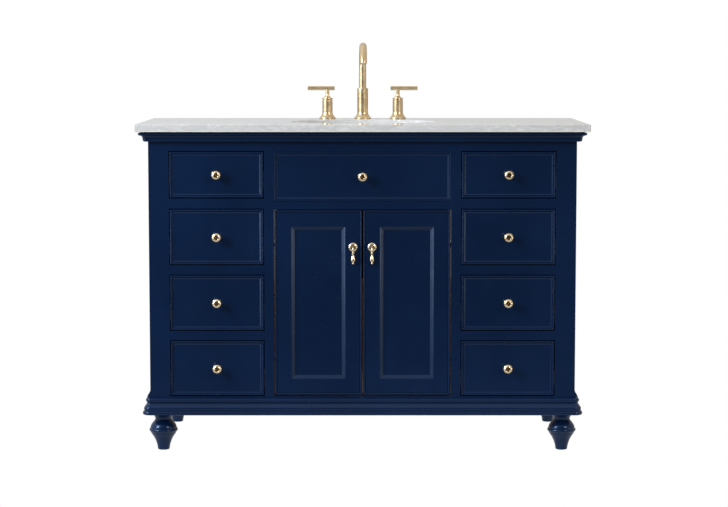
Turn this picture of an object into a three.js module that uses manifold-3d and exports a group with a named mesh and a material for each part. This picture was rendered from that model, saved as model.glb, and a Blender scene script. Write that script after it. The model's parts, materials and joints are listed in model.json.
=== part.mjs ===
// A bathroom vanity cabinet: a painted cabinet on turned feet with two banks of drawers and a
// pair of doors, under a polished stone top with an undermount oval bowl and a three-piece tap.
// Millimetres, +Z up, the front faces -Y, and the origin is on the floor under the top's middle.
import * as THREE from "three";
import { mergeVertices } from "three/addons/utils/BufferGeometryUtils.js";
import Module from "manifold-3d";

// ---- Overall sizes ------------------------------------------------------------------------
const WIDTH = 1219.2; // stone top, side to side
const DEPTH = 546; // stone top, front to back
const HEIGHT = 889; // floor to the stone's top face
const GAP = 0.3; // between pieces that touch
const SMALL_SIDES = 12; // sides of small turned pieces
const LARGE_SIDES = 16; // sides of larger turned pieces
const BOWL_SIDES = 28;

// ---- Stone top ----------------------------------------------------------------------------
const SLAB = 20; // thickness
const SLAB_EASE = 1.5; // eased arris
const SIDE_OVERHANG = 33.6;
const FRONT_OVERHANG = 33;
const BACK_OVERHANG = 6;
const HOLE_CLEAR = 3.5; // round each tap shank

// ---- Cabinet boards -----------------------------------------------------------------------
const FRAME_T = 19; // face frame, drawer fronts and doors
const STILE = 54.6; // outer stile of the face frame
const MULLION = 26; // stile between the cupboard and a drawer bank
const TOP_RAIL = 51.5; // over the drawers
const BASE_CLEAR = 1.7; // bottom rail that shows over the base moulding
const FALSE_TOP_RAIL = 54; // over the false front
const MID_RAIL = 22; // between the false front and the doors
const UPPER_RAIL = 27.4; // between the top drawer and the next
const LOWER_RAIL = 25.2; // between the other drawers
const CUPBOARD = 478.4; // width of the door opening
const SIDE_T = 18;
const PARTITION_T = 16;
const FLOOR_T = 18;
const FLOOR_DROP = 1.5; // floor's top face under the bottom rail's edge
const BACK_T = 12;
const PIPE_OPENING = { width: 400, height: 260, up: 270 }; // in the back, above the floor

// ---- Drawers ------------------------------------------------------------------------------
const REVEAL = 2.2; // round each drawer front
const TOP_DRAWER = 123.8; // height of the top drawer's front
const RUNNER_SPACE = 13; // each side of a drawer box
const BOX_WALL = 12;
const BOX_FLOOR = 6;
const BOX_LIFT = 10; // box's underside over the front's lower edge
const BOX_LOSS = 30; // box's height less than its front's
const BOX_TAIL = 40; // space behind a closed drawer box

// ---- Doors and false front ----------------------------------------------------------------
const FALSE_FRONT = 132.6; // height
const DOOR_SIDE_GAP = 2.1;
const DOOR_TOP_GAP = 2.3;
const DOOR_FOOT_GAP = 3.5;
const MEETING_GAP = 4; // between the two doors
const DOOR_STILE = 44.2;
const DOOR_SLOPE = 10; // width of the slope down to the panel
const PANEL_SINK = 9.7; // panel's face behind the door's face
const PANEL_T = 6;
const PANEL_GROOVE = 8; // how far the groove runs into the frame
const HINGE = { length: 62, height: 42, thickness: 7, end: 96, back: 7 };

// The lip round every front: distance in from the edge, and depth behind the face.
const LIP = [
  [0, 2],
  [0.9, 0.6],
  [2.4, 0],
  [3.9, 0.6],
  [4.8, 1.8],
];
const FIELD_EDGE = 9.8; // inner edge of the slope on a drawer front
const FIELD_SINK = 3.6; // flat field of a drawer front, behind its face

// ---- Mouldings: distance out from the cabinet, and height over the moulding's foot ---------
const CROWN = [
  [0, 0],
  [9, 0],
  [11.6, 1.4],
  [12.6, 4],
  [13.4, 8.6],
  [15.8, 13.4],
  [20, 17.4],
  [22.4, 18.6],
  [24.4, 20.4],
  [25, 22.8],
  [24.2, 26.3],
  [0, 26.3],
];
const BASE = [
  [0, 0],
  [17.6, 0],
  [19.8, 1.6],
  [20.6, 5],
  [19.2, 8.6],
  [16, 11.2],
  [15.6, 13.6],
  [17, 17.6],
  [15.6, 21.6],
  [11.5, 25.8],
  [8.2, 29.4],
  [8.4, 32.6],
  [9.6, 36.2],
  [12, 40.6],
  [11.2, 43.6],
  [9.5, 45],
  [0, 47.7],
];

// ---- Turned feet: radius and height over the floor -----------------------------------------
const FOOT = [
  [0, 0],
  [14.4, 0],
  [16.2, 2],
  [17.6, 10],
  [21.8, 26],
  [28.4, 38],
  [36.2, 49],
  [38.8, 55],
  [36.4, 60.4],
  [34.6, 66],
  [29, 74],
  [23, 83],
  [25.4, 92],
  [32, 99],
  [32, 101.5],
  [0, 101.5],
];
const FOOT_INSET = { side: 32, front: 35, back: 35 }; // foot's middle in from each face

// ---- Knobs and drop pulls ------------------------------------------------------------------
const KNOB = [
  [0, 0],
  [8.6, 0],
  [8.6, 1.6],
  [6, 4],
  [5.2, 9],
  [7.2, 12.6],
  [12, 15],
  [13.25, 18],
  [12.2, 21.2],
  [8.4, 23.4],
  [0, 25],
];
const PULL_SIDE = 25.6; // pull's middle from the doors' meeting line
const PULL_DROP = 99.5; // pull's middle under the door's top
const ROSETTE = [
  [0, 0],
  [12.2, 0],
  [12.2, 1.4],
  [10.4, 3],
  [6, 4],
  [0, 4.2],
];
const PULL_PIN = 1; // radius
const PULL_EAR = { thickness: 1.4, wall: 1.6 }; // the two ears that hold the pin
const PULL_EYE = { thickness: 2.6, wall: 1.6, clear: 0.4 }; // the drop's eye round the pin
const PULL_PLAY = { side: 0.5, back: 1 }; // eye to each ear and to the rosette
const DROP = [
  [0, 0],
  [1.5, 0],
  [1.5, -1],
  [2.4, -3],
  [2.9, -14],
  [4.2, -22],
  [6, -28],
  [6.4, -31.5],
  [5.4, -35.6],
  [2.5, -38.6],
  [2.3, -39.2],
  [3.5, -41.6],
  [2.6, -43.4],
  [0, -44],
]; // hanging drop, under its eye
const DROP_SINK = 0.6; // drop's top into the eye

// ---- Bowl and drain ------------------------------------------------------------------------
const BOWL_FRONT = 90; // stone in front of the bowl's opening
const BOWL_BACK = 73; // stone between the opening and the tap's line
const BOWL_SIDE = 44; // opening to the partition
const BOWL_DEPTH = 145;
const BOWL_WALL = 9;
const BOWL_STEP = 3; // bowl's rim outside the stone's opening
const BOWL_LEDGE = { width: 22, thickness: 10 }; // flat rim against the stone
const BOWL_FULLNESS = 2.6; // 2 is an ellipse, more is squarer
const BOWL_TURNS = 6; // rings from the rim to the drain's seat
const STONE_HOLE_SIDES = 36;
const DRAIN_HOLE = 22;
const DRAIN_SEAT = 12; // flat round the hole
const DRAIN = { clear: 2, wall: 2.5, lip: 8, height: 3, bevel: 3, tail: 70 }; // tube through the hole
const STOPPER = { stem: 4, length: 43, lip: 2.5, height: 6.3 };

// ---- Tap -------------------------------------------------------------------------------------
const TAP_BACK = 63; // tap's line in from the stone's back edge
const TAP_SPREAD = 101.6; // spout to each handle
const SHANK = { radius: 14, length: 75 };
const FLANGE = { edge: 3.5, lean: 3.4, shoulder: 7.2, cove: 12, top: 19 }; // heights, but for lean
const SPOUT_SLEEVE = { radius: 15.5, height: 88, flange: 24.5, ease: 1.5 };
const SPOUT_TUBE = 10.3; // radius
const SPOUT_TOP = 219; // over the stone
const SPOUT_BEND = 69; // radius of the arch's centreline
const SPOUT_PAST_TOP = THREE.MathUtils.degToRad(72);
const SPOUT_TURN = THREE.MathUtils.degToRad(1);
const SPOUT_STEPS = { route: 18, rings: 22 };
const VALVE = { radius: 14.75, height: 60, flange: 23.5 };
const VALVE_GROOVE = { depth: 1.2, foot: -5, low: -4.2, high: -3, top: -2.2 }; // from the valve's top
const LEVER_POST = 5.2; // radius
const LEVER_COLLAR = { radius: 8.4, height: 1.4, waist: 6, waistHeight: 4.5, top: 8 };
const LEVER_HEIGHT = 88; // bar's middle over the stone
const LEVER_BAR = { radius: 6, outward: 57, inward: 21 };

// ---- Worked out from the sizes above ---------------------------------------------------------
const slabBottom = HEIGHT - SLAB;
const cabinetTop = slabBottom - GAP;
const bodyHalf = WIDTH / 2 - SIDE_OVERHANG;
const faceY = -DEPTH / 2 + FRONT_OVERHANG;
const insideY = faceY + FRAME_T + GAP; // where the boards behind the face frame start
const backY = DEPTH / 2 - BACK_OVERHANG;
const backPanelY = backY - BACK_T;
const bayHalf = CUPBOARD / 2;
const bankInner = bayHalf + MULLION;
const bankOuter = bodyHalf - STILE;
const openingTop = slabBottom - TOP_RAIL;
const footHeight = FOOT.at(-1)[1] + GAP;
const openingFoot = footHeight + BASE.at(-1)[1] + BASE_CLEAR;
const floorTop = openingFoot - FLOOR_DROP;
const sideInner = bodyHalf - SIDE_T;
const partitionMiddle = bayHalf + MULLION / 2;
const partitionInner = partitionMiddle - PARTITION_T / 2;
const falseTop = slabBottom - FALSE_TOP_RAIL;
const falseFoot = falseTop - FALSE_FRONT - 2 * GAP;
const doorOpeningTop = falseFoot - MID_RAIL;
const doorTop = doorOpeningTop - DOOR_TOP_GAP;
const doorFoot = openingFoot + DOOR_FOOT_GAP;
const tapY = DEPTH / 2 - TAP_BACK;
const bowlFrontY = -DEPTH / 2 + BOWL_FRONT;
const bowlBackY = tapY - BOWL_BACK;
const bowlY = (bowlFrontY + bowlBackY) / 2;
const bowlHalfX = partitionInner - BOWL_SIDE;
const bowlHalfY = (bowlBackY - bowlFrontY) / 2;
const bowlTop = slabBottom - GAP;
const drainZ = bowlTop - BOWL_DEPTH;
const eyeHole = PULL_PIN + PULL_EYE.clear;
const eyeRadius = eyeHole + PULL_EYE.wall;
const earGap = PULL_EYE.thickness / 2 + PULL_PLAY.side;
const earRadius = PULL_PIN + PULL_EAR.wall;
const pinOut = ROSETTE.at(-1)[1] + eyeRadius + PULL_PLAY.back; // from the rosette's foot

// The drawer fronts of one bank, from the top one down: the height of each, and its middle.
const railsHeight = UPPER_RAIL + 2 * LOWER_RAIL;
const deepDrawer = (openingTop - openingFoot - TOP_DRAWER - 8 * REVEAL - railsHeight) / 3;
const drawerRows = [];
let rowTop = openingTop;
for (const [height, rail] of [
  [TOP_DRAWER, UPPER_RAIL],
  [deepDrawer, LOWER_RAIL],
  [deepDrawer, LOWER_RAIL],
  [deepDrawer, 0],
]) {
  drawerRows.push({ height, middle: rowTop - REVEAL - height / 2 });
  rowTop -= height + 2 * REVEAL + rail;
}

// ---- Finishes ----------------------------------------------------------------------------------
const paint = new THREE.MeshStandardMaterial({ color: 0x10264a, roughness: 0.38, metalness: 0 });
const birch = new THREE.MeshStandardMaterial({ color: 0xd9c29a, roughness: 0.55, metalness: 0 });
const stone = new THREE.MeshStandardMaterial({ color: 0xe6e6e9, roughness: 0.15, metalness: 0 });
const china = new THREE.MeshStandardMaterial({ color: 0xf4f4f2, roughness: 0.08, metalness: 0 });
const brass = new THREE.MeshStandardMaterial({ color: 0xc9a978, roughness: 0.3, metalness: 1 });
const steel = new THREE.MeshStandardMaterial({ color: 0xb9bcc0, roughness: 0.35, metalness: 1 });

// ---- Joining and cutting -------------------------------------------------------------------------
const wasm = await Module();
wasm.setup();

function solidOf(geometry) {
  const bare = geometry.clone();
  bare.deleteAttribute("normal");
  bare.deleteAttribute("uv");
  const merged = mergeVertices(bare, 1e-4);
  const triVerts = new Uint32Array(merged.index.array);
  const vertProperties = merged.attributes.position.array;
  return new wasm.Manifold(new wasm.Mesh({ numProp: 3, vertProperties, triVerts }));
}

function geometryOf(solid) {
  const mesh = solid.getMesh();
  const geometry = new THREE.BufferGeometry();
  geometry.setAttribute("position", new THREE.BufferAttribute(mesh.vertProperties, 3));
  geometry.setIndex(new THREE.BufferAttribute(mesh.triVerts, 1));
  geometry.computeVertexNormals();
  return geometry;
}

function joined(first, ...others) {
  return geometryOf(others.reduce((sum, g) => sum.add(solidOf(g)), solidOf(first)));
}

function cut(first, ...others) {
  return geometryOf(others.reduce((rest, g) => rest.subtract(solidOf(g)), solidOf(first)));
}

// ---- Shapes ----------------------------------------------------------------------------------------
function boxBetween([x0, y0, z0], [x1, y1, z1]) {
  const box = new THREE.BoxGeometry(x1 - x0, y1 - y0, z1 - z0);
  return box.translate((x0 + x1) / 2, (y0 + y1) / 2, (z0 + z1) / 2);
}

// A turned shape about Z from [radius, height] pairs, from its lower end to its upper end.
function turned(profile, segments) {
  const points = profile.map(([radius, height]) => new THREE.Vector2(radius, height));
  return new THREE.LatheGeometry(points, segments).rotateX(Math.PI / 2);
}

// A turned shape that stands out from a front, along -Y.
function turnedForward(profile, segments) {
  return turned(profile, segments).rotateX(Math.PI / 2);
}

// A closed body through rings of points. It closes on itself, or its two ends are filled.
function loft(rings, endless, section = []) {
  const count = rings[0].length;
  const index = [];
  const spans = endless ? rings.length : rings.length - 1;
  for (let ring = 0; ring < spans; ring++) {
    const here = ring * count;
    const next = ((ring + 1) % rings.length) * count;
    for (let i = 0; i < count; i++) {
      const j = (i + 1) % count;
      index.push(here + i, here + j, next + j, here + i, next + j, next + i);
    }
  }
  if (!endless) {
    const clockwise = THREE.ShapeUtils.isClockWise(section);
    const last = (rings.length - 1) * count;
    for (const face of THREE.ShapeUtils.triangulateShape(section, [])) {
      const [a, b, c] = clockwise ? face.toReversed() : face;
      index.push(c, b, a, last + a, last + b, last + c);
    }
  }
  const geometry = new THREE.BufferGeometry().setFromPoints(rings.flat());
  geometry.setIndex(index);
  geometry.computeVertexNormals();
  return geometry;
}

// One rectangle round a front of the given size, seen from the front, its middle at x = z = 0.
function frontRing(width, height, inset, depth) {
  const x = width / 2 - inset;
  const z = height / 2 - inset;
  const corners = [
    [-x, -z],
    [x, -z],
    [x, z],
    [-x, z],
  ];
  return corners.map(([cornerX, cornerZ]) => new THREE.Vector3(cornerX, depth, cornerZ));
}

// A drawer front: a beaded lip, a slope and a sunk flat field. Its face is at y = 0.
function lippedFront(width, height) {
  const profile = [[0, FRAME_T], ...LIP, [FIELD_EDGE, FIELD_SINK]];
  const rings = profile.map(([inset, depth]) => frontRing(width, height, inset, depth));
  const section = rings[0].map((p) => new THREE.Vector2(p.x, p.z));
  return loft(rings, false, section);
}

// A door's frame: the same lip, a flat, a slope towards the panel, and a groove for the panel.
function doorFrame(width, height) {
  const inner = DOOR_STILE + DOOR_SLOPE;
  const grooveFront = PANEL_SINK - GAP;
  const grooveBack = PANEL_SINK + PANEL_T + GAP;
  const profile = [
    [0, FRAME_T],
    ...LIP,
    [DOOR_STILE, LIP.at(-1)[1]],
    [inner, grooveFront - 1],
    [inner, grooveFront],
    [inner - PANEL_GROOVE, grooveFront],
    [inner - PANEL_GROOVE, grooveBack],
    [inner, grooveBack],
    [inner, FRAME_T],
  ];
  return loft(profile.map(([inset, depth]) => frontRing(width, height, inset, depth)), true);
}

// A moulding that runs round the front and both sides, mitred at the two front corners.
function wrapMoulding(profile, foot) {
  const half = bodyHalf + GAP;
  const front = faceY - GAP;
  const stations = [
    { x: half, y: backY, out: [1, 0] },
    { x: half, y: front, out: [1, -1] },
    { x: -half, y: front, out: [-1, -1] },
    { x: -half, y: backY, out: [-1, 0] },
  ];
  const rings = stations.map(({ x, y, out }) =>
    profile.map(([o, z]) => new THREE.Vector3(x + o * out[0], y + o * out[1], foot + z)),
  );
  return loft(rings, false, profile.map(([o, z]) => new THREE.Vector2(o, z)));
}

function ovalRing(halfX, halfY, z, count) {
  const curve = new THREE.EllipseCurve(0, 0, halfX, halfY);
  return curve.getPoints(count).slice(0, count).map((p) => new THREE.Vector3(p.x, p.y, z));
}

// ---- The scene -------------------------------------------------------------------------------------
const vanity = new THREE.Group();

function addPiece(group, name, geometry, material) {
  const mesh = new THREE.Mesh(geometry, material);
  mesh.name = name;
  group.add(mesh);
  return mesh;
}

function addGroup(x = 0, y = 0, z = 0) {
  const group = new THREE.Group();
  group.position.set(x, y, z);
  vanity.add(group);
  return group;
}

const SIDES = [
  { side: "left", sign: -1 },
  { side: "right", sign: 1 },
];

// The face frame, with an opening for each drawer, one for the false front and one for the doors.
function faceFrame() {
  const frame = boxBetween([-bodyHalf, faceY, footHeight], [bodyHalf, faceY + FRAME_T, cabinetTop]);
  const front = faceY - 1;
  const behind = faceY + FRAME_T + 1;
  const openings = [
    boxBetween([-bayHalf, front, openingFoot], [bayHalf, behind, doorOpeningTop]),
    boxBetween([-bayHalf, front, falseFoot], [bayHalf, behind, falseTop]),
  ];
  for (const { height, middle } of drawerRows) {
    const half = height / 2 + REVEAL;
    openings.push(
      boxBetween([-bankOuter, front, middle - half], [-bankInner, behind, middle + half]),
      boxBetween([bankInner, front, middle - half], [bankOuter, behind, middle + half]),
    );
  }
  return cut(frame, ...openings);
}

function cabinet() {
  const group = addGroup();
  addPiece(group, "face_frame", faceFrame(), paint);
  for (const { side, sign } of SIDES) {
    const outer = [sign * sideInner, sign * bodyHalf].sort((a, b) => a - b);
    const panel = boxBetween([outer[0], insideY, footHeight], [outer[1], backY, cabinetTop]);
    addPiece(group, `side_panel_${side}`, panel, paint);

    const middle = sign * partitionMiddle;
    const half = PARTITION_T / 2;
    const partition = boxBetween(
      [middle - half, insideY, floorTop + GAP],
      [middle + half, backPanelY - GAP, cabinetTop],
    );
    addPiece(group, `partition_${side}`, partition, birch);
  }
  const inner = sideInner - GAP;
  const floor = boxBetween([-inner, insideY, floorTop - FLOOR_T], [inner, backPanelY - GAP, floorTop]);
  addPiece(group, "cabinet_floor", floor, birch);

  const back = boxBetween([-inner, backPanelY, footHeight], [inner, backY, cabinetTop]);
  const pipesFoot = floorTop + PIPE_OPENING.up;
  const pipes = boxBetween(
    [-PIPE_OPENING.width / 2, backPanelY - 1, pipesFoot],
    [PIPE_OPENING.width / 2, backY + 1, pipesFoot + PIPE_OPENING.height],
  );
  addPiece(group, "back_panel", cut(back, pipes), birch);

  const crownHeight = CROWN.at(-1)[1];
  addPiece(group, "crown_moulding", wrapMoulding(CROWN, cabinetTop - crownHeight), paint);
  addPiece(group, "base_moulding", wrapMoulding(BASE, footHeight), paint);
}

function feet() {
  const places = [
    ["front", faceY + FOOT_INSET.front],
    ["back", backY - FOOT_INSET.back],
  ];
  for (const { side, sign } of SIDES) {
    for (const [end, y] of places) {
      const group = addGroup(sign * (bodyHalf - FOOT_INSET.side), y, 0);
      addPiece(group, `foot_${end}_${side}`, turned(FOOT, LARGE_SIDES), paint);
    }
  }
}

// A drawer box with an open top. Its front end is at y = 0 and its underside at z = 0.
function drawerBox(width, length, height) {
  const outside = boxBetween([-width / 2, 0, 0], [width / 2, length, height]);
  const inside = boxBetween(
    [-width / 2 + BOX_WALL, BOX_WALL, BOX_FLOOR],
    [width / 2 - BOX_WALL, length - BOX_WALL, height + 1],
  );
  return cut(outside, inside);
}

function drawers() {
  const width = bankOuter - bankInner - 2 * REVEAL;
  const boxWidth = bankOuter - bankInner - 2 * RUNNER_SPACE;
  const boxLength = backPanelY - insideY - BOX_TAIL;
  for (const { side, sign } of SIDES) {
    drawerRows.forEach(({ height, middle }, row) => {
      const tag = `${side}_${row + 1}`;
      const group = addGroup((sign * (bankInner + bankOuter)) / 2, faceY, middle);
      addPiece(group, `drawer_front_${tag}`, lippedFront(width, height), paint);
      const box = drawerBox(boxWidth, boxLength, height - BOX_LOSS);
      const boxPiece = addPiece(group, `drawer_box_${tag}`, box, birch);
      boxPiece.position.set(0, FRAME_T + GAP, -height / 2 + BOX_LIFT);
      const knob = addPiece(group, `drawer_knob_${tag}`, turnedForward(KNOB, SMALL_SIDES), brass);
      knob.position.y = FIELD_SINK - GAP;
    });
  }
}

function falseFront() {
  const group = addGroup(0, faceY, (falseFoot + falseTop) / 2);
  const width = CUPBOARD - 2 * GAP;
  addPiece(group, "false_front", lippedFront(width, FALSE_FRONT), paint);
  const knob = addPiece(group, "false_front_knob", turnedForward(KNOB, SMALL_SIDES), brass);
  knob.position.y = FIELD_SINK - GAP;
}

// A drop pull's rosette with two ears and the pin between them. Its foot is at y = 0.
function rosette() {
  const pieces = [];
  for (const sign of [-1, 1]) {
    const middle = sign * (earGap + PULL_EAR.thickness / 2);
    const low = middle - PULL_EAR.thickness / 2;
    const high = middle + PULL_EAR.thickness / 2;
    const end = new THREE.CylinderGeometry(earRadius, earRadius, PULL_EAR.thickness, 8);
    pieces.push(
      boxBetween([low, -pinOut, -earRadius], [high, -ROSETTE.at(-1)[1] / 2, earRadius]),
      end.rotateZ(Math.PI / 2).translate(middle, -pinOut, 0),
    );
  }
  const pinLength = 2 * earGap + PULL_EAR.thickness;
  const pin = new THREE.CylinderGeometry(PULL_PIN, PULL_PIN, pinLength, 8);
  pieces.push(pin.rotateZ(Math.PI / 2).translate(0, -pinOut, 0));
  return joined(turnedForward(ROSETTE, LARGE_SIDES), ...pieces);
}

// The hanging drop, with its eye round the pin at the origin.
function drop() {
  const { thickness } = PULL_EYE;
  const eye = new THREE.CylinderGeometry(eyeRadius, eyeRadius, thickness, SMALL_SIDES);
  const stem = turned([...DROP].reverse(), SMALL_SIDES).translate(0, 0, DROP_SINK - eyeRadius);
  const bore = new THREE.CylinderGeometry(eyeHole, eyeHole, thickness + 2, SMALL_SIDES);
  return cut(joined(stem, eye.rotateZ(Math.PI / 2)), bore.rotateZ(Math.PI / 2));
}

function doors() {
  const width = bayHalf - DOOR_SIDE_GAP - MEETING_GAP / 2;
  const height = doorTop - doorFoot;
  const panelInset = DOOR_STILE + DOOR_SLOPE - PANEL_GROOVE + 1;
  const panelX = width / 2 - panelInset;
  const panelZ = height / 2 - panelInset;
  const stileFace = LIP.at(-1)[1];
  for (const { side, sign } of SIDES) {
    const x = (sign * (width + MEETING_GAP)) / 2;
    const group = addGroup(x, faceY, (doorTop + doorFoot) / 2);
    addPiece(group, `door_frame_${side}`, doorFrame(width, height), paint);
    const panel = boxBetween(
      [-panelX, PANEL_SINK, -panelZ],
      [panelX, PANEL_SINK + PANEL_T, panelZ],
    );
    addPiece(group, `door_panel_${side}`, panel, paint);

    const pull = addGroup(sign * PULL_SIDE, faceY + stileFace - GAP, doorTop - PULL_DROP);
    addPiece(pull, `pull_rosette_${side}`, rosette(), brass);
    const hanging = addPiece(pull, `pull_drop_${side}`, drop(), brass);
    hanging.position.y = -pinOut;

    // The mounting plate and arm of each cup hinge, on the partition beside the door.
    const inside = sign * (partitionInner - GAP);
    const outside = inside - sign * HINGE.thickness;
    const [low, high] = [inside, outside].sort((a, b) => a - b);
    const plateY = faceY + FRAME_T + HINGE.back;
    for (const [end, z] of [
      ["upper", doorTop - HINGE.end],
      ["lower", doorFoot + HINGE.end],
    ]) {
      const plate = boxBetween(
        [low, plateY, z - HINGE.height / 2],
        [high, plateY + HINGE.length, z + HINGE.height / 2],
      );
      addPiece(vanity, `hinge_${side}_${end}`, plate, steel);
    }
  }
}

function ovalHole(x, y, halfX, halfY, count) {
  const curve = new THREE.EllipseCurve(x, y, halfX, halfY);
  return new THREE.Path(curve.getPoints(count).slice(0, count));
}

function stoneTop() {
  const outline = new THREE.Shape([
    new THREE.Vector2(-WIDTH / 2, -DEPTH / 2),
    new THREE.Vector2(WIDTH / 2, -DEPTH / 2),
    new THREE.Vector2(WIDTH / 2, DEPTH / 2),
    new THREE.Vector2(-WIDTH / 2, DEPTH / 2),
  ]);
  outline.holes.push(ovalHole(0, bowlY, bowlHalfX, bowlHalfY, STONE_HOLE_SIDES));
  const holeRadius = SHANK.radius + HOLE_CLEAR;
  for (const x of [-TAP_SPREAD, 0, TAP_SPREAD]) {
    outline.holes.push(ovalHole(x, tapY, holeRadius, holeRadius, SMALL_SIDES));
  }
  const slab = new THREE.ExtrudeGeometry(outline, {
    depth: SLAB - 2 * SLAB_EASE,
    bevelThickness: SLAB_EASE,
    bevelSize: SLAB_EASE,
    bevelOffset: -SLAB_EASE,
    bevelSegments: 1,
  });
  const group = addGroup(0, 0, slabBottom + SLAB_EASE);
  addPiece(group, "stone_top", slab, stone);
}

// The bowl, from the rim down its inside, through the drain hole and up its outside.
function bowl() {
  const turns = BOWL_TURNS;
  const rimX = bowlHalfX + BOWL_STEP;
  const rimY = bowlHalfY + BOWL_STEP;
  const seat = DRAIN_HOLE + DRAIN_SEAT;
  const wallRing = (share, grow) => {
    const angle = (share * Math.PI) / 2;
    const across = Math.cos(angle) ** (2 / BOWL_FULLNESS);
    const down = Math.sin(angle) ** (2 / BOWL_FULLNESS);
    const halfX = seat + (rimX + grow - seat) * across;
    const halfY = seat + (rimY + grow - seat) * across;
    return ovalRing(halfX, halfY, -(BOWL_DEPTH + grow) * down, BOWL_SIDES);
  };
  const inside = [];
  const outside = [];
  for (let turn = 0; turn <= turns; turn++) {
    inside.push(wallRing(turn / turns, 0));
    outside.unshift(wallRing((turn + 2) / (turns + 2), BOWL_WALL));
  }
  const { width, thickness } = BOWL_LEDGE;
  const ledgeX = rimX + width;
  const ledgeY = rimY + width;
  const rings = [
    ...inside,
    ovalRing(DRAIN_HOLE, DRAIN_HOLE, -BOWL_DEPTH, BOWL_SIDES),
    ovalRing(DRAIN_HOLE, DRAIN_HOLE, -BOWL_DEPTH - BOWL_WALL, BOWL_SIDES),
    ...outside,
    ovalRing(rimX + BOWL_WALL, rimY + BOWL_WALL, -thickness, BOWL_SIDES),
    ovalRing(ledgeX, ledgeY, -thickness, BOWL_SIDES),
    ovalRing(ledgeX, ledgeY, 0, BOWL_SIDES),
  ];
  return loft(rings, true);
}

// The drain's flange and tail, round the hole in the bowl. The bowl's floor is at z = 0.
function drain() {
  const outer = DRAIN_HOLE - DRAIN.clear;
  const inner = outer - DRAIN.wall;
  const lip = DRAIN_HOLE + DRAIN.lip;
  return [
    [lip, GAP],
    [lip, DRAIN.height / 2],
    [lip - DRAIN.bevel, DRAIN.height],
    [inner + DRAIN.bevel / 2, DRAIN.height],
    [inner, DRAIN.height / 2],
    [inner, -DRAIN.tail],
    [outer, -DRAIN.tail],
    [outer, GAP],
    [lip, GAP],
  ];
}

// The stopper, a domed cap on a stem, seated on the drain's flange.
function stopper() {
  const foot = DRAIN.height + GAP;
  const radius = DRAIN_HOLE + STOPPER.lip;
  return [
    [0, foot - STOPPER.length],
    [STOPPER.stem, foot - STOPPER.length],
    [STOPPER.stem, foot],
    [radius - 0.5, foot],
    [radius, foot + 1.3],
    [0.9 * radius, foot + 0.6 * STOPPER.height],
    [radius / 2, foot + 0.9 * STOPPER.height],
    [0, foot + STOPPER.height],
  ];
}

function basin() {
  const bowlGroup = addGroup(0, bowlY, bowlTop);
  addPiece(bowlGroup, "sink_bowl", bowl(), china);
  const drainGroup = addGroup(0, bowlY, drainZ);
  addPiece(drainGroup, "drain_flange", turned(drain(), LARGE_SIDES), brass);
  addPiece(drainGroup, "drain_stopper", turned(stopper(), LARGE_SIDES), brass);
}

// A deck fitting's lower half: the threaded shank through the stone and the coved flange on it.
function deckFlange(flange, radius) {
  const cove = radius + 0.3 * (flange - radius);
  return [
    [0, -SHANK.length],
    [SHANK.radius, -SHANK.length],
    [SHANK.radius, GAP],
    [flange, GAP],
    [flange, FLANGE.edge],
    [flange - FLANGE.lean, FLANGE.shoulder],
    [cove, FLANGE.cove],
    [radius, FLANGE.top],
  ];
}

function spout() {
  const { radius, height, flange, ease } = SPOUT_SLEEVE;
  const sleeve = [
    ...deckFlange(flange, radius),
    [radius, height - ease],
    [radius - ease, height],
    [0, height],
  ];
  const bendZ = SPOUT_TOP - SPOUT_TUBE - SPOUT_BEND;
  const route = [new THREE.Vector3(0, 0, height / 2)];
  const bendSteps = SPOUT_STEPS.route;
  const fullTurn = Math.PI / 2 + SPOUT_PAST_TOP;
  for (let step = 0; step <= bendSteps; step++) {
    const angle = (step / bendSteps) * fullTurn;
    const y = SPOUT_BEND * (Math.cos(angle) - 1);
    route.push(new THREE.Vector3(0, y, bendZ + SPOUT_BEND * Math.sin(angle)));
  }
  const round = new THREE.EllipseCurve(0, 0, SPOUT_TUBE, SPOUT_TUBE).getPoints(SMALL_SIDES);
  const tube = new THREE.ExtrudeGeometry(new THREE.Shape(round), {
    steps: SPOUT_STEPS.rings,
    extrudePath: new THREE.CatmullRomCurve3(route),
  });
  return joined(turned(sleeve, LARGE_SIDES), tube).rotateZ(SPOUT_TURN);
}

function lever(sign) {
  const foot = VALVE.height + GAP;
  const post = [
    [0, foot],
    [LEVER_COLLAR.radius, foot],
    [LEVER_COLLAR.radius, foot + LEVER_COLLAR.height],
    [LEVER_COLLAR.waist, foot + LEVER_COLLAR.waistHeight],
    [LEVER_POST, foot + LEVER_COLLAR.top],
    [LEVER_POST, LEVER_HEIGHT],
    [0, LEVER_HEIGHT],
  ];
  const { radius, outward, inward } = LEVER_BAR;
  const bar = new THREE.CylinderGeometry(radius, radius, outward + inward, SMALL_SIDES);
  bar.rotateZ(Math.PI / 2).translate((sign * (outward - inward)) / 2, 0, LEVER_HEIGHT);
  return joined(turned(post, SMALL_SIDES), bar);
}

function valve() {
  const { radius, height, flange } = VALVE;
  const { depth, foot, low, high, top } = VALVE_GROOVE;
  const body = [
    ...deckFlange(flange, radius),
    [radius, height + foot],
    [radius - depth, height + low],
    [radius - depth, height + high],
    [radius, height + top],
    [radius - 0.8, height],
    [0, height],
  ];
  return turned(body, LARGE_SIDES);
}

function tap() {
  addPiece(addGroup(0, tapY, HEIGHT), "tap_spout", spout(), brass);
  for (const { side, sign } of SIDES) {
    const group = addGroup(sign * TAP_SPREAD, tapY, HEIGHT);
    addPiece(group, `tap_valve_${side}`, valve(), brass);
    addPiece(group, `tap_lever_${side}`, lever(sign), brass);
  }
}

cabinet();
feet();
drawers();
falseFront();
doors();
stoneTop();
basin();
tap();

export default vanity;
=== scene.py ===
import json
import math

import bmesh
import bpy
from mathutils import Euler, Matrix, Vector


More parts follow.
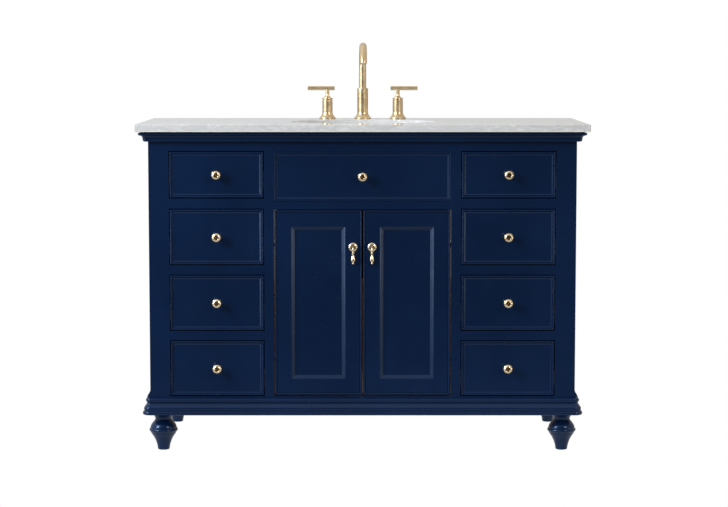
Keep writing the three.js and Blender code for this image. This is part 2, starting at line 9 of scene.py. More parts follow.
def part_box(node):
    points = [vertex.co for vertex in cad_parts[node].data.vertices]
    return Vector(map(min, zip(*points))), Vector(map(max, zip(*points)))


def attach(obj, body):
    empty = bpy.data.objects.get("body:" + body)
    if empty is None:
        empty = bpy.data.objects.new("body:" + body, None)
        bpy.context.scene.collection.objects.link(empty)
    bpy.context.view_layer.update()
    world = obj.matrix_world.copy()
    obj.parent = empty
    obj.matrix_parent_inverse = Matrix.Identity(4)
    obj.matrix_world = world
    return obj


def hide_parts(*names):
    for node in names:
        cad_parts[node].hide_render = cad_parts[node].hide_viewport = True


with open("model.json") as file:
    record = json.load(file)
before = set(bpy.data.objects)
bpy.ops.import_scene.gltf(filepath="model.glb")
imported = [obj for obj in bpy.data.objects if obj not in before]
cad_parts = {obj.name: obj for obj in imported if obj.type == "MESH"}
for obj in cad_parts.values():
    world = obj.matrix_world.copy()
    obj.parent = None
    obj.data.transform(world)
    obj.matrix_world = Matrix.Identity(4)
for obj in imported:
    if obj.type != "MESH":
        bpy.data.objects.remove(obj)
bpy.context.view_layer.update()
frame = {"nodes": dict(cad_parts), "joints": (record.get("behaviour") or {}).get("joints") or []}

MM = 0.001
UP = Vector((0, 0, 1))
FORWARD = Vector((0, -1, 0))
SIDES = (("left", -1), ("right", 1))
ROWS = (1, 2, 3, 4)


def box_mm(node):
    low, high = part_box(node)
    return low / MM, high / MM


# ---- Sizes that come from the frame ----
frame_low, frame_high = box_mm("face_frame")
stone_low, stone_high = box_mm("stone_top")
back_low, back_high = box_mm("back_panel")
false_low, false_high = box_mm("false_front")
floor_low, floor_high = box_mm("cabinet_floor")
PARTITION_OUTSIDE = box_mm("partition_right")[1].x
SIDE_INSIDE = box_mm("side_panel_right")[0].x
CROWN_FOOT = box_mm("crown_moulding")[0].z
DOOR_TOP = box_mm("door_frame_right")[1].z
FACE = frame_low.y
BODY_HALF = frame_high.x
FOOT_Z = frame_low.z
CABINET_TOP = frame_high.z
BACK = back_high.y
DECK = stone_high.z

# ---- Sizes of the finer work, in millimetres ----
GAP = 0.3  # between pieces that touch
REVEAL = 2.2  # round a drawer front
DOOR_TOP_GAP = 2.3
BOARD_ARRIS = 0.35
FRONT_T = 19  # face frame, drawer fronts and doors
DOOR_STILE = 44.2
DOOR_SLOPE = 10
BOX_WALL = 12  # drawer box
STEEL_T = 1.2  # drawer runners
CUP_FLANGE = 1.1  # thickness, under the hinge cup's screws
TAP_SPREAD = 101.6  # middle of the spout to the middle of a valve
TAP_HOLES = (-TAP_SPREAD, 0, TAP_SPREAD)
TAP_Y = 210
SHANK = 14  # radius of a tap's shank
LEVER_Z = 88  # lever bar's middle over the deck
BOWL_Y = -23
BOWL_HALF = (200.2, 160)  # the slab's cut-out
DRAIN_TAIL = 70  # the drain's tube, down from the bowl's floor
DRAIN_Z = box_mm("drain_flange")[0].z + DRAIN_TAIL


# ---- Profiles ----
def arc(centre, radius, start, end, steps):
    """Points on an arc between two angles in degrees, both ends included."""
    angles = [math.radians(start + (end - start) * i / steps) for i in range(steps + 1)]
    return [(centre[0] + radius * math.cos(a), centre[1] + radius * math.sin(a)) for a in angles]


def eased(points, steps=4):
    """A smooth run through the given points, both ends included."""
    run = []
    for i in range(len(points) - 1):
        four = (points[max(i - 1, 0)], points[i], points[i + 1], points[min(i + 2, len(points) - 1)])
        for step in range(steps):
            t = step / steps
            weights = [-t + 2 * t**2 - t**3, 2 - 5 * t**2 + 3 * t**3]
            weights += [t + 4 * t**2 - 3 * t**3, t**3 - t**2]
            run.append(tuple(sum(w / 2 * p[k] for w, p in zip(weights, four)) for k in range(2)))
    return run + [tuple(points[-1])]


# Round every front: distance in from the edge, and depth behind the face.
LIP = (
    [(0.4, FRONT_T), (0, FRONT_T - 0.4)]
    + eased([(0, 2.3), (0.5, 1.0), (1.4, 0.25), (2.5, 0), (3.6, 0.25), (4.5, 1.0), (5.1, 2.2)], 2)
    + [(5.4, 2.6), (5.9, 2.5), (6.5, 1.75)]
)
LIP_WIDTH, LIP_SINK = LIP[-1]
FIELD_SLOPE = [(7.0, 1.8), (9.8, 3.3), (10.4, 3.6)]

CROWN = (
    [(0, 0.1), (8.2, 0.1)]
    + arc((8.4, 5.1), 5, -90, 0, 6)[1:]
    + [(13.5, 8.2)]
    + arc((22, 8.6), 8.4, 180, 90, 8)
    + [(22.2, 18.0), (23.9, 18.2)]
    + arc((23.9, 19.3), 1.1, -60, 0, 3)
    + arc((23.6, 22.6), 1.4, 0, 80, 3)
    + [(17.5, 24.2), (17.0, 26.3), (0, 26.3)]
)
BASE = (
    [(0, 0), (17.4, 0)]
    + eased([(18.2, 0.3), (20.0, 2.0), (20.6, 4.8), (20.1, 7.6), (18.4, 9.8), (16.2, 10.7)], 3)
    + [(15.9, 11.6)]
    + eased([(16.0, 12.4), (16.9, 14.4), (17.2, 17.4), (16.7, 20.0), (15.2, 22.4)], 3)
    + eased([(14.6, 22.8), (11.6, 25.8), (9.0, 28.6), (8.0, 31.2), (8.3, 33.4)], 3)
    + eased([(8.9, 34.0), (10.8, 36.2), (11.9, 39.2), (11.8, 41.8), (10.6, 43.9)], 3)
    + [(9.4, 44.9), (0, 47.6)]
)
SIDE_COVE = [(0, 0.3), (8.9, 0.3)] + arc((10.6, 17), 10.2, 235, 180, 6) + [(0, 17.2)]
FOOT = (
    [(0, 0), (13.2, 0)]
    + eased([(14.2, 0.2), (15.6, 1.2), (16.3, 3.2), (17.0, 9), (19.2, 18), (22.4, 27)], 3)
    + eased([(22.4, 27), (27.4, 36.4), (32.6, 44), (35.6, 50)], 3)[1:]
    + eased([(36.3, 50.4), (38.0, 52.2), (38.7, 55), (38.0, 57.8), (36.6, 59.3)], 3)
    + eased([(35.9, 59.6), (35.4, 63.6), (33.2, 69), (29.0, 75), (24.8, 80), (22.9, 83)], 3)
    + eased([(22.3, 84.2), (22.9, 87.6), (25.2, 92.4), (28.6, 96.8), (31.6, 99.6)], 3)
    + [(32, 100.2), (32, 101.5), (0, 101.5)]
)
KNOB = (
    [(0, 0), (8.4, 0), (8.6, 0.4), (8.6, 1.3), (8.0, 1.9)]
    + eased([(6.8, 3.0), (5.4, 6.0), (5.2, 9.4), (6.6, 12.4), (9.8, 14.0)], 3)
    + eased([(11.6, 14.9), (13.0, 16.4), (13.2, 18.2), (12.5, 20.2), (10.9, 22.3), (8.7, 24.0)], 3)
    + eased([(7.2, 24.8), (6.4, 25), (5.8, 24.7), (5.4, 23.6)], 3)
    + eased([(5.0, 21.4), (4.2, 20.3), (3.0, 20.0), (2.6, 20.3)], 3)
    + eased([(2.5, 21.2), (1.9, 22.2), (0.9, 22.7), (0, 22.8)], 3)
)
# The dish's dark brass is painted reflection and shade.
KNOB_DISH = 5.5  # radius of the darkened dish in its face
KNOB_NECK = 17  # the dish lies further out than this
ROSETTE = (
    [(0, 0), (11.9, 0), (12.2, 0.3)]
    + eased([(12.1, 0.8), (11.2, 1.8), (9.8, 2.8), (8.0, 3.7), (6.0, 4.4), (4.0, 4.8), (2.0, 4.9)], 3)
    + [(0, 4.9)]
)
DROP = (
    [(0, -44), (0.9, -43.9)]
    + eased([(1.8, -43.6), (3.1, -42.5), (3.5, -41.0), (3.1, -39.6), (2.4, -38.8)], 3)
    + eased([(2.3, -38.5), (3.9, -37.6), (5.8, -35.0), (6.4, -31.6), (6.0, -28.4)], 3)
    + eased([(6.0, -28.4), (4.8, -24.6), (3.7, -20.5), (3.1, -16), (2.8, -10), (2.5, -4)], 3)[1:]
    + [(1.6, -0.9), (1.6, 0), (0, 0)]
)


# ---- Building meshes ----
def placed(name, data):
    """A new object in the scene."""
    thing = bpy.data.objects.new(name, data)
    bpy.context.scene.collection.objects.link(thing)
    return thing


def circle(middle, radius, across, other, steps):
    """Points round a middle, in the plane of two directions at right angles."""
    turns = [math.tau * i / steps for i in range(steps)]
    return [middle + radius * (math.cos(a) * across + math.sin(a) * other) for a in turns]


class Piece:
    """Gathers the closed shells of one piece in millimetres and makes them one object."""

    def __init__(self, name, *finishes):
        self.name = name
        self.finishes = finishes
        self.bm = bmesh.new()
        self.crisp = self.bm.edges.layers.int.new("crisp")

    def skin(self, rings, along=False, finish=0, crisp=(), fill=False):
        """Quads through rings of points. A ring of one point is a pole."""
        rows = [[self.bm.verts.new(p) for p in ring] for ring in rings]
        spans = list(zip(rows, rows[1:]))
        if along:
            spans.append((rows[-1], rows[0]))
        for here, there in spans:
            count = max(len(here), len(there))
            for i in range(count):
                j = (i + 1) % count
                corners = [here[i % len(here)], here[j % len(here)]]
                corners += [there[j % len(there)], there[i % len(there)]]
                face = self.bm.faces.new(tuple(dict.fromkeys(corners)))
                face.material_index = finish
            for i in crisp:
                edge = self.bm.edges.get((here[i], there[i]))
                edge[self.crisp] = 1
        if fill:
            for row in (rows[0], rows[-1]):
                self.bm.faces.new(row).material_index = finish
        return self

    def board(self, low, high, arris=BOARD_ARRIS, finish=0, steps=1):
        """A plank between two corners with its edges taken off."""
        verts = bmesh.ops.create_cube(self.bm, size=1)["verts"]
        ends = [sorted(pair) for pair in zip(low, high)]
        for vert in verts:
            vert.co = [ends[k][0 if vert.co[k] < 0 else 1] for k in range(3)]
        for face in {f for v in verts for f in v.link_faces}:
            face.material_index = finish
        edges = list({e for v in verts for e in v.link_edges})
        bevel = {"offset": arris, "segments": steps, "profile": 0.5, "affect": "EDGES"}
        bmesh.ops.bevel(self.bm, geom=edges, **bevel)
        return self

    def turned(self, profile, foot, axis=UP, steps=48, finish=0, pipe=False):
        """A shape turned about an axis, from pairs of radius and height over its foot."""
        axis = Vector(axis).normalized()
        across = axis.orthogonal().normalized()
        other = axis.cross(across)
        rings = []
        for radius, height in profile:
            middle = Vector(foot) + axis * height
            rings.append(circle(middle, radius, across, other, steps) if radius else [middle])
        return self.skin(rings, along=pipe, finish=finish)

    def tube(self, path, radii, steps=24, finish=0):
        """A round bar along a path, with a radius for each point and filled ends."""
        path = [Vector(p) for p in path]
        across = (path[1] - path[0]).orthogonal().normalized()
        rings = []
        for i, middle in enumerate(path):
            ahead = path[min(i + 1, len(path) - 1)] - path[max(i - 1, 0)]
            along = ahead.normalized()
            across = (across - along * across.dot(along)).normalized()
            other = along.cross(across)
            rings.append(circle(middle, radii[i], across, other, steps))
        return self.skin(rings, finish=finish, fill=True)

    def run(self, section, start, end, finish=0):
        """A straight length of a section given as offsets from the start and end points."""
        rings = [[Vector(place) + Vector(p) for p in section] for place in (start, end)]
        return self.skin(rings, finish=finish, fill=True)

    def add_mesh(self, mesh):
        """Another mesh, in metres, joined to the piece."""
        mesh.transform(Matrix.Scale(1 / MM, 4))
        self.bm.from_mesh(mesh)
        bpy.data.meshes.remove(mesh)
        return self

    def closed_mesh(self, sharp):
        """The shells as one mesh in metres, faces outward, with its edges sharp from an angle."""
        bmesh.ops.recalc_face_normals(self.bm, faces=self.bm.faces)
        mesh = bpy.data.meshes.new(self.name)
        self.bm.to_mesh(mesh)
        self.bm.free()
        mesh.transform(Matrix.Scale(MM, 4))
        mesh.shade_smooth()
        mesh.set_sharp_from_angle(angle=math.radians(sharp))
        return mesh

    def made(self, body, slot, stands_for=(), sharp=32):
        """The finished object, on its body, with the nodes that it stands for hidden; the slot that it is
        given is not used.
        """
        mesh = self.closed_mesh(sharp)
        for finish in self.finishes:
            mesh.materials.append(finish)
        marks = mesh.attributes.get("crisp")
        held = [mark.value for mark in marks.data] if marks else []
        for edge, mark in zip(mesh.edges, held):
            if mark:
                edge.use_edge_sharp = True
        if marks:
            mesh.attributes.remove(marks)
        piece = placed(self.name, mesh)
        even = piece.modifiers.new("even_shading", "WEIGHTED_NORMAL")
        even.keep_sharp = True
        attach(piece, body)
        if stands_for:
            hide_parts(*stands_for)
        return piece


def loose_mesh(name, points, edges=(), faces=()):
    """A plain object from points in millimetres, such as a path that a tree reads."""
    mesh = bpy.data.meshes.new(name)
    mesh.from_pydata([Vector(p) * MM for p in points], list(edges), list(faces))
    return placed(name, mesh)


def remove(*things):
    """Takes loose objects and their meshes away again."""
    for thing in things:
        mesh = thing.data
        bpy.data.objects.remove(thing)
        bpy.data.meshes.remove(mesh)


# ---- Node trees ----
def add(tree, kind, inputs=None, **settings):
    """A node with its settings, and its inputs given as values or as sockets to join."""
    node = tree.nodes.new(kind)
    for name, value in settings.items():
        setattr(node, name, value)
    for name, value in (inputs or {}).items():
        socket = node.inputs[name]
        if isinstance(value, bpy.types.NodeSocket):
            tree.links.new(value, socket)
        else:
            socket.default_value = value
    return node


def math_node(tree, operation, first, second=0.0):
    return add(tree, "ShaderNodeMath", {0: first, 1: second}, operation=operation).outputs[0]


def times(tree, first, second):
    return math_node(tree, "MULTIPLY", first, second)


def vector_math(tree, operation, first, second):
    node = add(tree, "ShaderNodeVectorMath", {0: first, 1: second}, operation=operation)
    return node.outputs["Value" if operation == "DOT_PRODUCT" else "Vector"]


def along_axis(tree, vector, axis):
    return add(tree, "ShaderNodeSeparateXYZ", {0: vector}).outputs[axis]


def scaled(tree, vector, factor):
    node = add(tree, "ShaderNodeVectorMath", {0: vector, "Scale": factor}, operation="SCALE")
    return node.outputs["Vector"]


def noise(tree, vector, scale, detail=2.0, rough=0.5):
    inputs = {"Vector": vector, "Scale": scale, "Detail": detail, "Roughness": rough}
    return add(tree, "ShaderNodeTexNoise", inputs).outputs["Fac"]


def spread(tree, value, low, high, to_low, to_high):
    """Moves a value from one range to another, held at both ends."""
    inputs = {"Value": value, "From Min": low, "From Max": high, "To Min": to_low, "To Max": to_high}
    return add(tree, "ShaderNodeMapRange", inputs, interpolation_type="SMOOTHSTEP").outputs[0]


def tinted(tree, share, first, second):
    """A colour between two others, by a share of the second."""
    node = add(tree, "ShaderNodeMix", data_type="RGBA")
    tree.links.new(share, node.inputs["Factor"])
    for name, colour in (("A", first), ("B", second)):
        socket = [s for s in node.inputs if s.name == name and s.type == "RGBA"][0]
        if isinstance(colour, bpy.types.NodeSocket):
            tree.links.new(colour, socket)
        else:
            socket.default_value = (*colour, 1)
    return [s for s in node.outputs if s.type == "RGBA"][0]


SOCKETS = {
    "vector": "NodeSocketVector",
    "value": "NodeSocketFloat",
    "count": "NodeSocketInt",
    "thing": "NodeSocketObject",
    "finish": "NodeSocketMaterial",
    "shape": "NodeSocketGeometry",
}


def new_tree(name, kind, inputs, outputs):
    """An empty node group with named inputs and outputs, and its two end nodes."""
    tree = bpy.data.node_groups.new(name, kind)
    for entries, way in ((inputs, "INPUT"), (outputs, "OUTPUT")):
        for label, sort in entries:
            tree.interface.new_socket(label, in_out=way, socket_type=SOCKETS[sort])
    start = tree.nodes.new("NodeGroupInput").outputs
    end = tree.nodes.new("NodeGroupOutput").inputs
    return tree, start, end


def stretched(tree, coordinate, way, along, across):
    """The coordinate with one scale along a way and another across it."""
    lengthwise = vector_math(tree, "DOT_PRODUCT", coordinate, way)
    pull = scaled(tree, way, times(tree, lengthwise, along - across))
    return vector_math(tree, "ADD", scaled(tree, coordinate, across), pull)


def weighed(tree, first, share, second):
    """Two values added, the first by its share and the second by the rest."""
    one = times(tree, first, share)
    return math_node(tree, "ADD", one, times(tree, second, 1 - share))


def paint_film_group():
    """Sprayed paint on wood: slow tone changes, orange peel, and grain that telegraphs through."""
    tree, start, end = new_tree(
        "paint_film",
        "ShaderNodeTree",
        [("Coordinate", "vector"), ("Run", "vector")],
        [("Tone", "value"), ("Gloss", "value"), ("Height", "value")],
    )
    place = start["Coordinate"]
    tone = noise(tree, place, 3.2, 3.0)
    grain = noise(tree, stretched(tree, place, start["Run"], 9, 420), 1.0, 3.0, 0.6)
    peel = noise(tree, place, 260, 1.0)
    cloud = noise(tree, place, 16, 4.0, 0.6)
    tree.links.new(spread(tree, weighed(tree, tone, 0.8, grain), 0.35, 0.65, 0.0, 1.0), end["Tone"])
    tree.links.new(spread(tree, cloud, 0.3, 0.7, 0.0, 1.0), end["Gloss"])
    tree.links.new(weighed(tree, peel, 0.6, grain), end["Height"])
    return tree


TWO_PLIES = 0.0028  # metres: one pale ply and one dark one


def wood_figure_group():
    """Rotary-cut birch ply: flame figure, short pores, and the plies that show at a sawn edge."""
    tree, start, end = new_tree(
        "wood_figure",
        "ShaderNodeTree",
        [("Coordinate", "vector"), ("Run", "vector"), ("Thickness", "vector")],
        [("Figure", "value"), ("Pores", "value"), ("Plies", "value")],
    )
    place, run = start["Coordinate"], start["Run"]
    bent = noise(tree, stretched(tree, place, run, 1.4, 17), 1.0, 3.0, 0.55)
    bands = math_node(tree, "SINE", times(tree, bent, 46.0))
    tree.links.new(spread(tree, bands, -1.0, 1.0, 0.0, 1.0), end["Figure"])
    pores = noise(tree, stretched(tree, place, run, 70, 900), 1.0, 1.0)
    tree.links.new(spread(tree, pores, 0.62, 0.7, 0.0, 1.0), end["Pores"])
    depth = vector_math(tree, "DOT_PRODUCT", place, start["Thickness"])
    layers = math_node(tree, "SINE", times(tree, depth, math.tau / TWO_PLIES))
    facing = add(tree, "ShaderNodeNewGeometry").outputs["True Normal"]
    flat = vector_math(tree, "DOT_PRODUCT", facing, start["Thickness"])
    edge = math_node(tree, "LESS_THAN", math_node(tree, "ABSOLUTE", flat), 0.5)
    shown = spread(tree, layers, -0.3, 0.3, 0.0, 1.0)
    tree.links.new(times(tree, shown, edge), end["Plies"])
    return tree


def brushed_lines_group():
    """Fine lines round an axis, as a brush leaves them, with patches where it pressed harder."""
    tree, start, end = new_tree(
        "brushed_lines",
        "ShaderNodeTree",
        [("Coordinate", "vector"), ("Axis", "vector")],
        [("Lines", "value"), ("Patches", "value")],
    )
    place = start["Coordinate"]
    lines = noise(tree, stretched(tree, place, start["Axis"], 900, 12), 1.0, 2.0, 0.6)
    tree.links.new(lines, end["Lines"])
    tree.links.new(spread(tree, noise(tree, place, 45, 2.0), 0.3, 0.7, 0.0, 1.0), end["Patches"])
    return tree


def handling_group():
    """Faint smears of use that change the gloss of a hard surface."""
    tree, start, end = new_tree(
        "handling_marks", "ShaderNodeTree", [("Coordinate", "vector")], [("Smear", "value")]
    )
    smear = noise(tree, start["Coordinate"], 22, 5.0, 0.65)
    tree.links.new(spread(tree, smear, 0.42, 0.72, 0.0, 1.0), end["Smear"])
    return tree


PAINT_FILM = paint_film_group()
WOOD_FIGURE = wood_figure_group()
BRUSHED_LINES = brushed_lines_group()
HANDLING = handling_group()


class Finish:
    """A material with a Principled shader, read from Object coordinates."""

    def __init__(self, name, **fixed):
        self.material = bpy.data.materials.new(name)
        self.material.use_nodes = True
        self.tree = self.material.node_tree
        self.tree.nodes.clear()
        self.shader = self.tree.nodes.new("ShaderNodeBsdfPrincipled")
        output = self.tree.nodes.new("ShaderNodeOutputMaterial")
        self.tree.links.new(self.shader.outputs[0], output.inputs["Surface"])
        self.place = self.tree.nodes.new("ShaderNodeTexCoord").outputs["Object"]
        for label, value in fixed.items():
            self.shader.inputs[label.replace("_", " ")].default_value = value

    def group(self, tree, **inputs):
        node = self.tree.nodes.new("ShaderNodeGroup")
        node.node_tree = tree
        self.tree.links.new(self.place, node.inputs["Coordinate"])
        for label, value in inputs.items():
            node.inputs[label].default_value = value
        return node.outputs

    def feed(self, label, socket):
        self.tree.links.new(socket, self.shader.inputs[label])
        return self

    def rough(self, share, low, high):
        return self.feed("Roughness", spread(self.tree, share, 0.0, 1.0, low, high))

    def bump(self, height, distance, strength=1.0):
        inputs = {"Height": height, "Distance": distance * MM, "Strength": strength}
        return self.feed("Normal", add(self.tree, "ShaderNodeBump", inputs).outputs["Normal"])


NAVY_DEEP = (0.0014, 0.0098, 0.0410)
NAVY_LIGHT = (0.0026, 0.0135, 0.0530)
PAINT_SHEEN = (0.50, 0.68, 1.0, 1)


def navy(name, run):
    """Sprayed navy paint over a board or turning whose grain has the given run."""
    finish = Finish(name, Specular_IOR_Level=0.5, Specular_Tint=PAINT_SHEEN)
    film = finish.group(PAINT_FILM, Run=run)
    marks = finish.group(HANDLING)
    finish.feed("Base Color", tinted(finish.tree, film["Tone"], NAVY_DEEP, NAVY_LIGHT))
    gloss = math_node(finish.tree, "ADD", film["Gloss"], marks["Smear"])
    finish.rough(times(finish.tree, gloss, 0.5), 0.20, 0.28)
    return finish.bump(film["Height"], 0.04, 0.3).material


def birch(name, run, thickness, painted_gap_shade=False):
    """Lacquered ply. A board behind the fronts can have navy painted over its front edge, as painted shade
    where it shows through the gaps between the fronts.
    """
    finish = Finish(name, Specular_IOR_Level=0.35)
    tree = finish.tree
    figure = finish.group(WOOD_FIGURE, Run=run, Thickness=thickness)
    shade = tinted(tree, figure["Figure"], (0.66, 0.48, 0.29), (0.73, 0.56, 0.36))
    shade = tinted(tree, times(tree, figure["Pores"], 0.5), shade, (0.36, 0.22, 0.11))
    shade = tinted(tree, figure["Plies"], shade, (0.37, 0.22, 0.12))
    if painted_gap_shade:
        # Painted shade: navy over the board's front part, so that it reads dark through the gaps between the
        # fronts.
        depth = along_axis(tree, finish.place, "Y")
        drift = spread(tree, depth, (FACE + 45) * MM, (FACE + 100) * MM, 1.0, 0.0)
        shade = tinted(tree, drift, shade, NAVY_DEEP)
    finish.feed("Base Color", shade)
    finish.rough(figure["Figure"], 0.42, 0.55)
    return finish.bump(figure["Pores"], -0.05, 0.6).material


def metal(name, light, dark, low, high, axis, lines=0.5, depth=0.003):
    """Brushed or polished metal between two colours and two roughnesses, with lines round an axis."""
    finish = Finish(name, Metallic=1.0)
    tree = finish.tree
    brush = finish.group(BRUSHED_LINES, Axis=axis)
    marks = finish.group(HANDLING)
    finish.feed("Base Color", tinted(tree, marks["Smear"], light, dark))
    share = math_node(tree, "ADD", times(tree, brush["Lines"], 0.3), brush["Patches"])
    finish.rough(times(tree, share, 0.75), low, high)
    return finish.bump(brush["Lines"], depth, lines).material


def marble():
    """Polished white stone: bent veins of three sizes, clouds, and a painted highlight along the eased lower
    edge.
    """
    finish = Finish("polished_marble", Specular_IOR_Level=0.5)
    tree = finish.tree
    marks = finish.group(HANDLING)
    bend = add(tree, "ShaderNodeTexNoise", {"Vector": finish.place, "Scale": 5.0, "Detail": 4.0})
    drift = vector_math(tree, "SUBTRACT", bend.outputs["Color"], (0.5, 0.5, 0.5))
    moved = vector_math(tree, "ADD", finish.place, scaled(tree, drift, 0.16))
    slanted = vector_math(tree, "MULTIPLY", moved, (0.8, 1.7, 2.6))
    veins = []
    for size, width, weight in ((5.0, 0.05, 0.42), (13.0, 0.07, 0.34), (38.0, 0.16, 0.28)):
        field = noise(tree, slanted, size, 5.0, 0.58)
        ridge = math_node(tree, "ABSOLUTE", math_node(tree, "SUBTRACT", field, 0.5))
        veins.append(times(tree, spread(tree, ridge, 0.0, width, 1.0, 0.0), weight))
    cloud = spread(tree, noise(tree, moved, 9.0, 5.0, 0.6), 0.42, 0.72, 0.0, 0.34)
    total = cloud
    for vein in veins:
        total = math_node(tree, "MAXIMUM", total, vein)
    height = along_axis(tree, finish.place, "Z")
    # Painted highlight: the stone is paler along its lower eased edge, where light from below catches it.
    painted_arris_highlight = spread(tree, height, (stone_low.z + 2.0) * MM, (stone_low.z + 4.0) * MM, 1.0, 0.0)
    veined = tinted(tree, total, (0.80, 0.80, 0.815), (0.36, 0.365, 0.38))
    finish.feed("Base Color", tinted(tree, painted_arris_highlight, veined, (0.90, 0.90, 0.905)))
    finish.rough(marks["Smear"], 0.10, 0.19)
    return finish.bump(total, -0.02, 0.3).material


def china():
    finish = Finish("white_glaze", Coat_Weight=0.6, Coat_Roughness=0.04)
    marks = finish.group(HANDLING)
    cloud = noise(finish.tree, finish.place, 26, 2.0)
    finish.feed("Base Color", tinted(finish.tree, cloud, (0.80, 0.80, 0.79), (0.86, 0.86, 0.855)))
    finish.rough(marks["Smear"], 0.08, 0.15)
    return finish.bump(cloud, 0.12, 0.4).material


def moulded(name, light, dark, low, high):
    """Moulded plastic or rubber with a fine matt texture."""
    finish = Finish(name, Specular_IOR_Level=0.4)
    marks = finish.group(HANDLING)
    texture = noise(finish.tree, finish.place, 1400, 2.0)
    finish.feed("Base Color", tinted(finish.tree, marks["Smear"], light, dark))
    finish.rough(texture, low, high)
    return finish.bump(texture, 0.05, 0.5).material


# Each finish: its name and the way that its grain or its lines run.
NAVY_UPRIGHT = navy("navy_paint_upright", (0, 0, 1))
NAVY_LEVEL = navy("navy_paint_level", (1, 0, 0))
NAVY_ROUND = navy("navy_paint_turned", (0, 0, 1))
PLY_X = birch("birch_ply_sides", (0, 1, 0), (1, 0, 0))
PLY_Y = birch("birch_ply_ends", (1, 0, 0), (0, 1, 0))
PLY_Z = birch("birch_ply_flat", (0, 1, 0), (0, 0, 1))
PLY_BACK = birch("birch_ply_back", (0, 0, 1), (0, 1, 0))
# The partition and the floor carry that painted shade at their front edges.
PARTITION_PLY = birch("birch_ply_partition", (0, 1, 0), (1, 0, 0), True)
FLOOR_PLY = birch("birch_ply_floor", (1, 0, 0), (0, 0, 1), True)
END_GRAIN = moulded("birch_end_grain", (0.44, 0.27, 0.14), (0.34, 0.20, 0.10), 0.5, 0.65)
SATIN_BRASS = (0.79, 0.61, 0.375), (0.69, 0.525, 0.305)
TAP_BRASS = metal("brushed_brass", *SATIN_BRASS, 0.28, 0.38, (0, 0, 1), 0.5)
TAP_BRASS_BAR = metal("brushed_brass_bar", *SATIN_BRASS, 0.28, 0.38, (1, 0, 0), 0.5)
PALE_BRASS = (0.93, 0.76, 0.50), (0.86, 0.68, 0.42)
PULL_BRASS = metal("polished_brass", *PALE_BRASS, 0.12, 0.20, (0, 1, 0), 0.15, 0.001)
# Dark brass for the knob dishes and the pulls' ears and pin caps: painted reflection and shade.
SHADE_BRASS_TONES = (0.30, 0.18, 0.09), (0.16, 0.09, 0.045)
SHADE_PAINTED_BRASS = metal("darkened_brass", *SHADE_BRASS_TONES, 0.25, 0.4, (0, 1, 0), 0.3)
ZINC = metal("bright_zinc", (0.74, 0.75, 0.78), (0.60, 0.61, 0.64), 0.22, 0.36, (0, 1, 0), 0.4)
DARK_STEEL = metal("oiled_steel", (0.36, 0.35, 0.34), (0.24, 0.23, 0.22), 0.30, 0.45, (0, 1, 0), 0.3)
MARBLE = marble()
CHINA = china()
SEALANT = moulded("clear_sealant", (0.74, 0.74, 0.72), (0.66, 0.66, 0.64), 0.2, 0.35)
WHITE_PLASTIC = moulded("white_plastic", (0.72, 0.72, 0.70), (0.62, 0.62, 0.60), 0.4, 0.55)
BLACK_PIPE = moulded("black_pipe", (0.012, 0.012, 0.013), (0.009, 0.009, 0.010), 0.5, 0.65)
BLACK_RUBBER = moulded("black_rubber", (0.030, 0.030, 0.031), (0.020, 0.020, 0.021), 0.6, 0.75)


# ---- Shapes that repeat or follow a path ----
def finished(tree, shape, start, end):
    """Ends a tree: the shape is made real and given its finish."""
    real = add(tree, "GeometryNodeRealizeInstances", {"Geometry": shape}).outputs[0]
    inputs = {"Geometry": real, "Material": start["Finish"]}
    tree.links.new(add(tree, "GeometryNodeSetMaterial", inputs).outputs[0], end["Shape"])
    return tree


def rows_tree():
    """Stands a part on every point, or a row of them, turned as the point says, with a seeded twist."""
    tree, start, end = new_tree(
        "rows_of_a_part",
        "GeometryNodeTree",
        [
            ("Points", "shape"),
            ("Part", "thing"),
            ("Count", "count"),
            ("Step", "vector"),
            ("Twist", "value"),
            ("Seed", "count"),
            ("Finish", "finish"),
        ],
        [("Shape", "shape")],
    )
    inputs = {"Count": start["Count"], "Offset": start["Step"]}
    line = add(tree, "GeometryNodeMeshLine", inputs, mode="OFFSET")
    inputs = {"Points": start["Points"], "Instance": line.outputs[0]}
    rows = add(tree, "GeometryNodeInstanceOnPoints", inputs)
    places = add(tree, "GeometryNodeRealizeInstances", {"Geometry": rows.outputs[0]})
    turn = add(tree, "GeometryNodeInputNamedAttribute", {"Name": "turn"}, data_type="FLOAT_VECTOR")
    facing = add(tree, "FunctionNodeEulerToRotation", {"Euler": turn.outputs["Attribute"]})
    twist = add(tree, "FunctionNodeRandomValue", {"Seed": start["Seed"]}, data_type="FLOAT")
    angle = times(tree, twist.outputs[1], start["Twist"])
    spin = add(tree, "ShaderNodeCombineXYZ", {"Z": angle})
    spun = add(tree, "FunctionNodeEulerToRotation", {"Euler": spin.outputs[0]})
    inputs = {"Rotation": facing.outputs[0], "Rotate By": spun.outputs[0]}
    both = add(tree, "FunctionNodeRotateRotation", inputs, rotation_space="LOCAL").outputs[0]
    part = add(tree, "GeometryNodeObjectInfo", {"Object": start["Part"]}, transform_space="ORIGINAL")
    part = part.outputs["Geometry"]
    inputs = {"Points": places.outputs[0], "Instance": part, "Rotation": both}
    stood = add(tree, "GeometryNodeInstanceOnPoints", inputs)
    return finished(tree, stood.outputs[0], start, end)


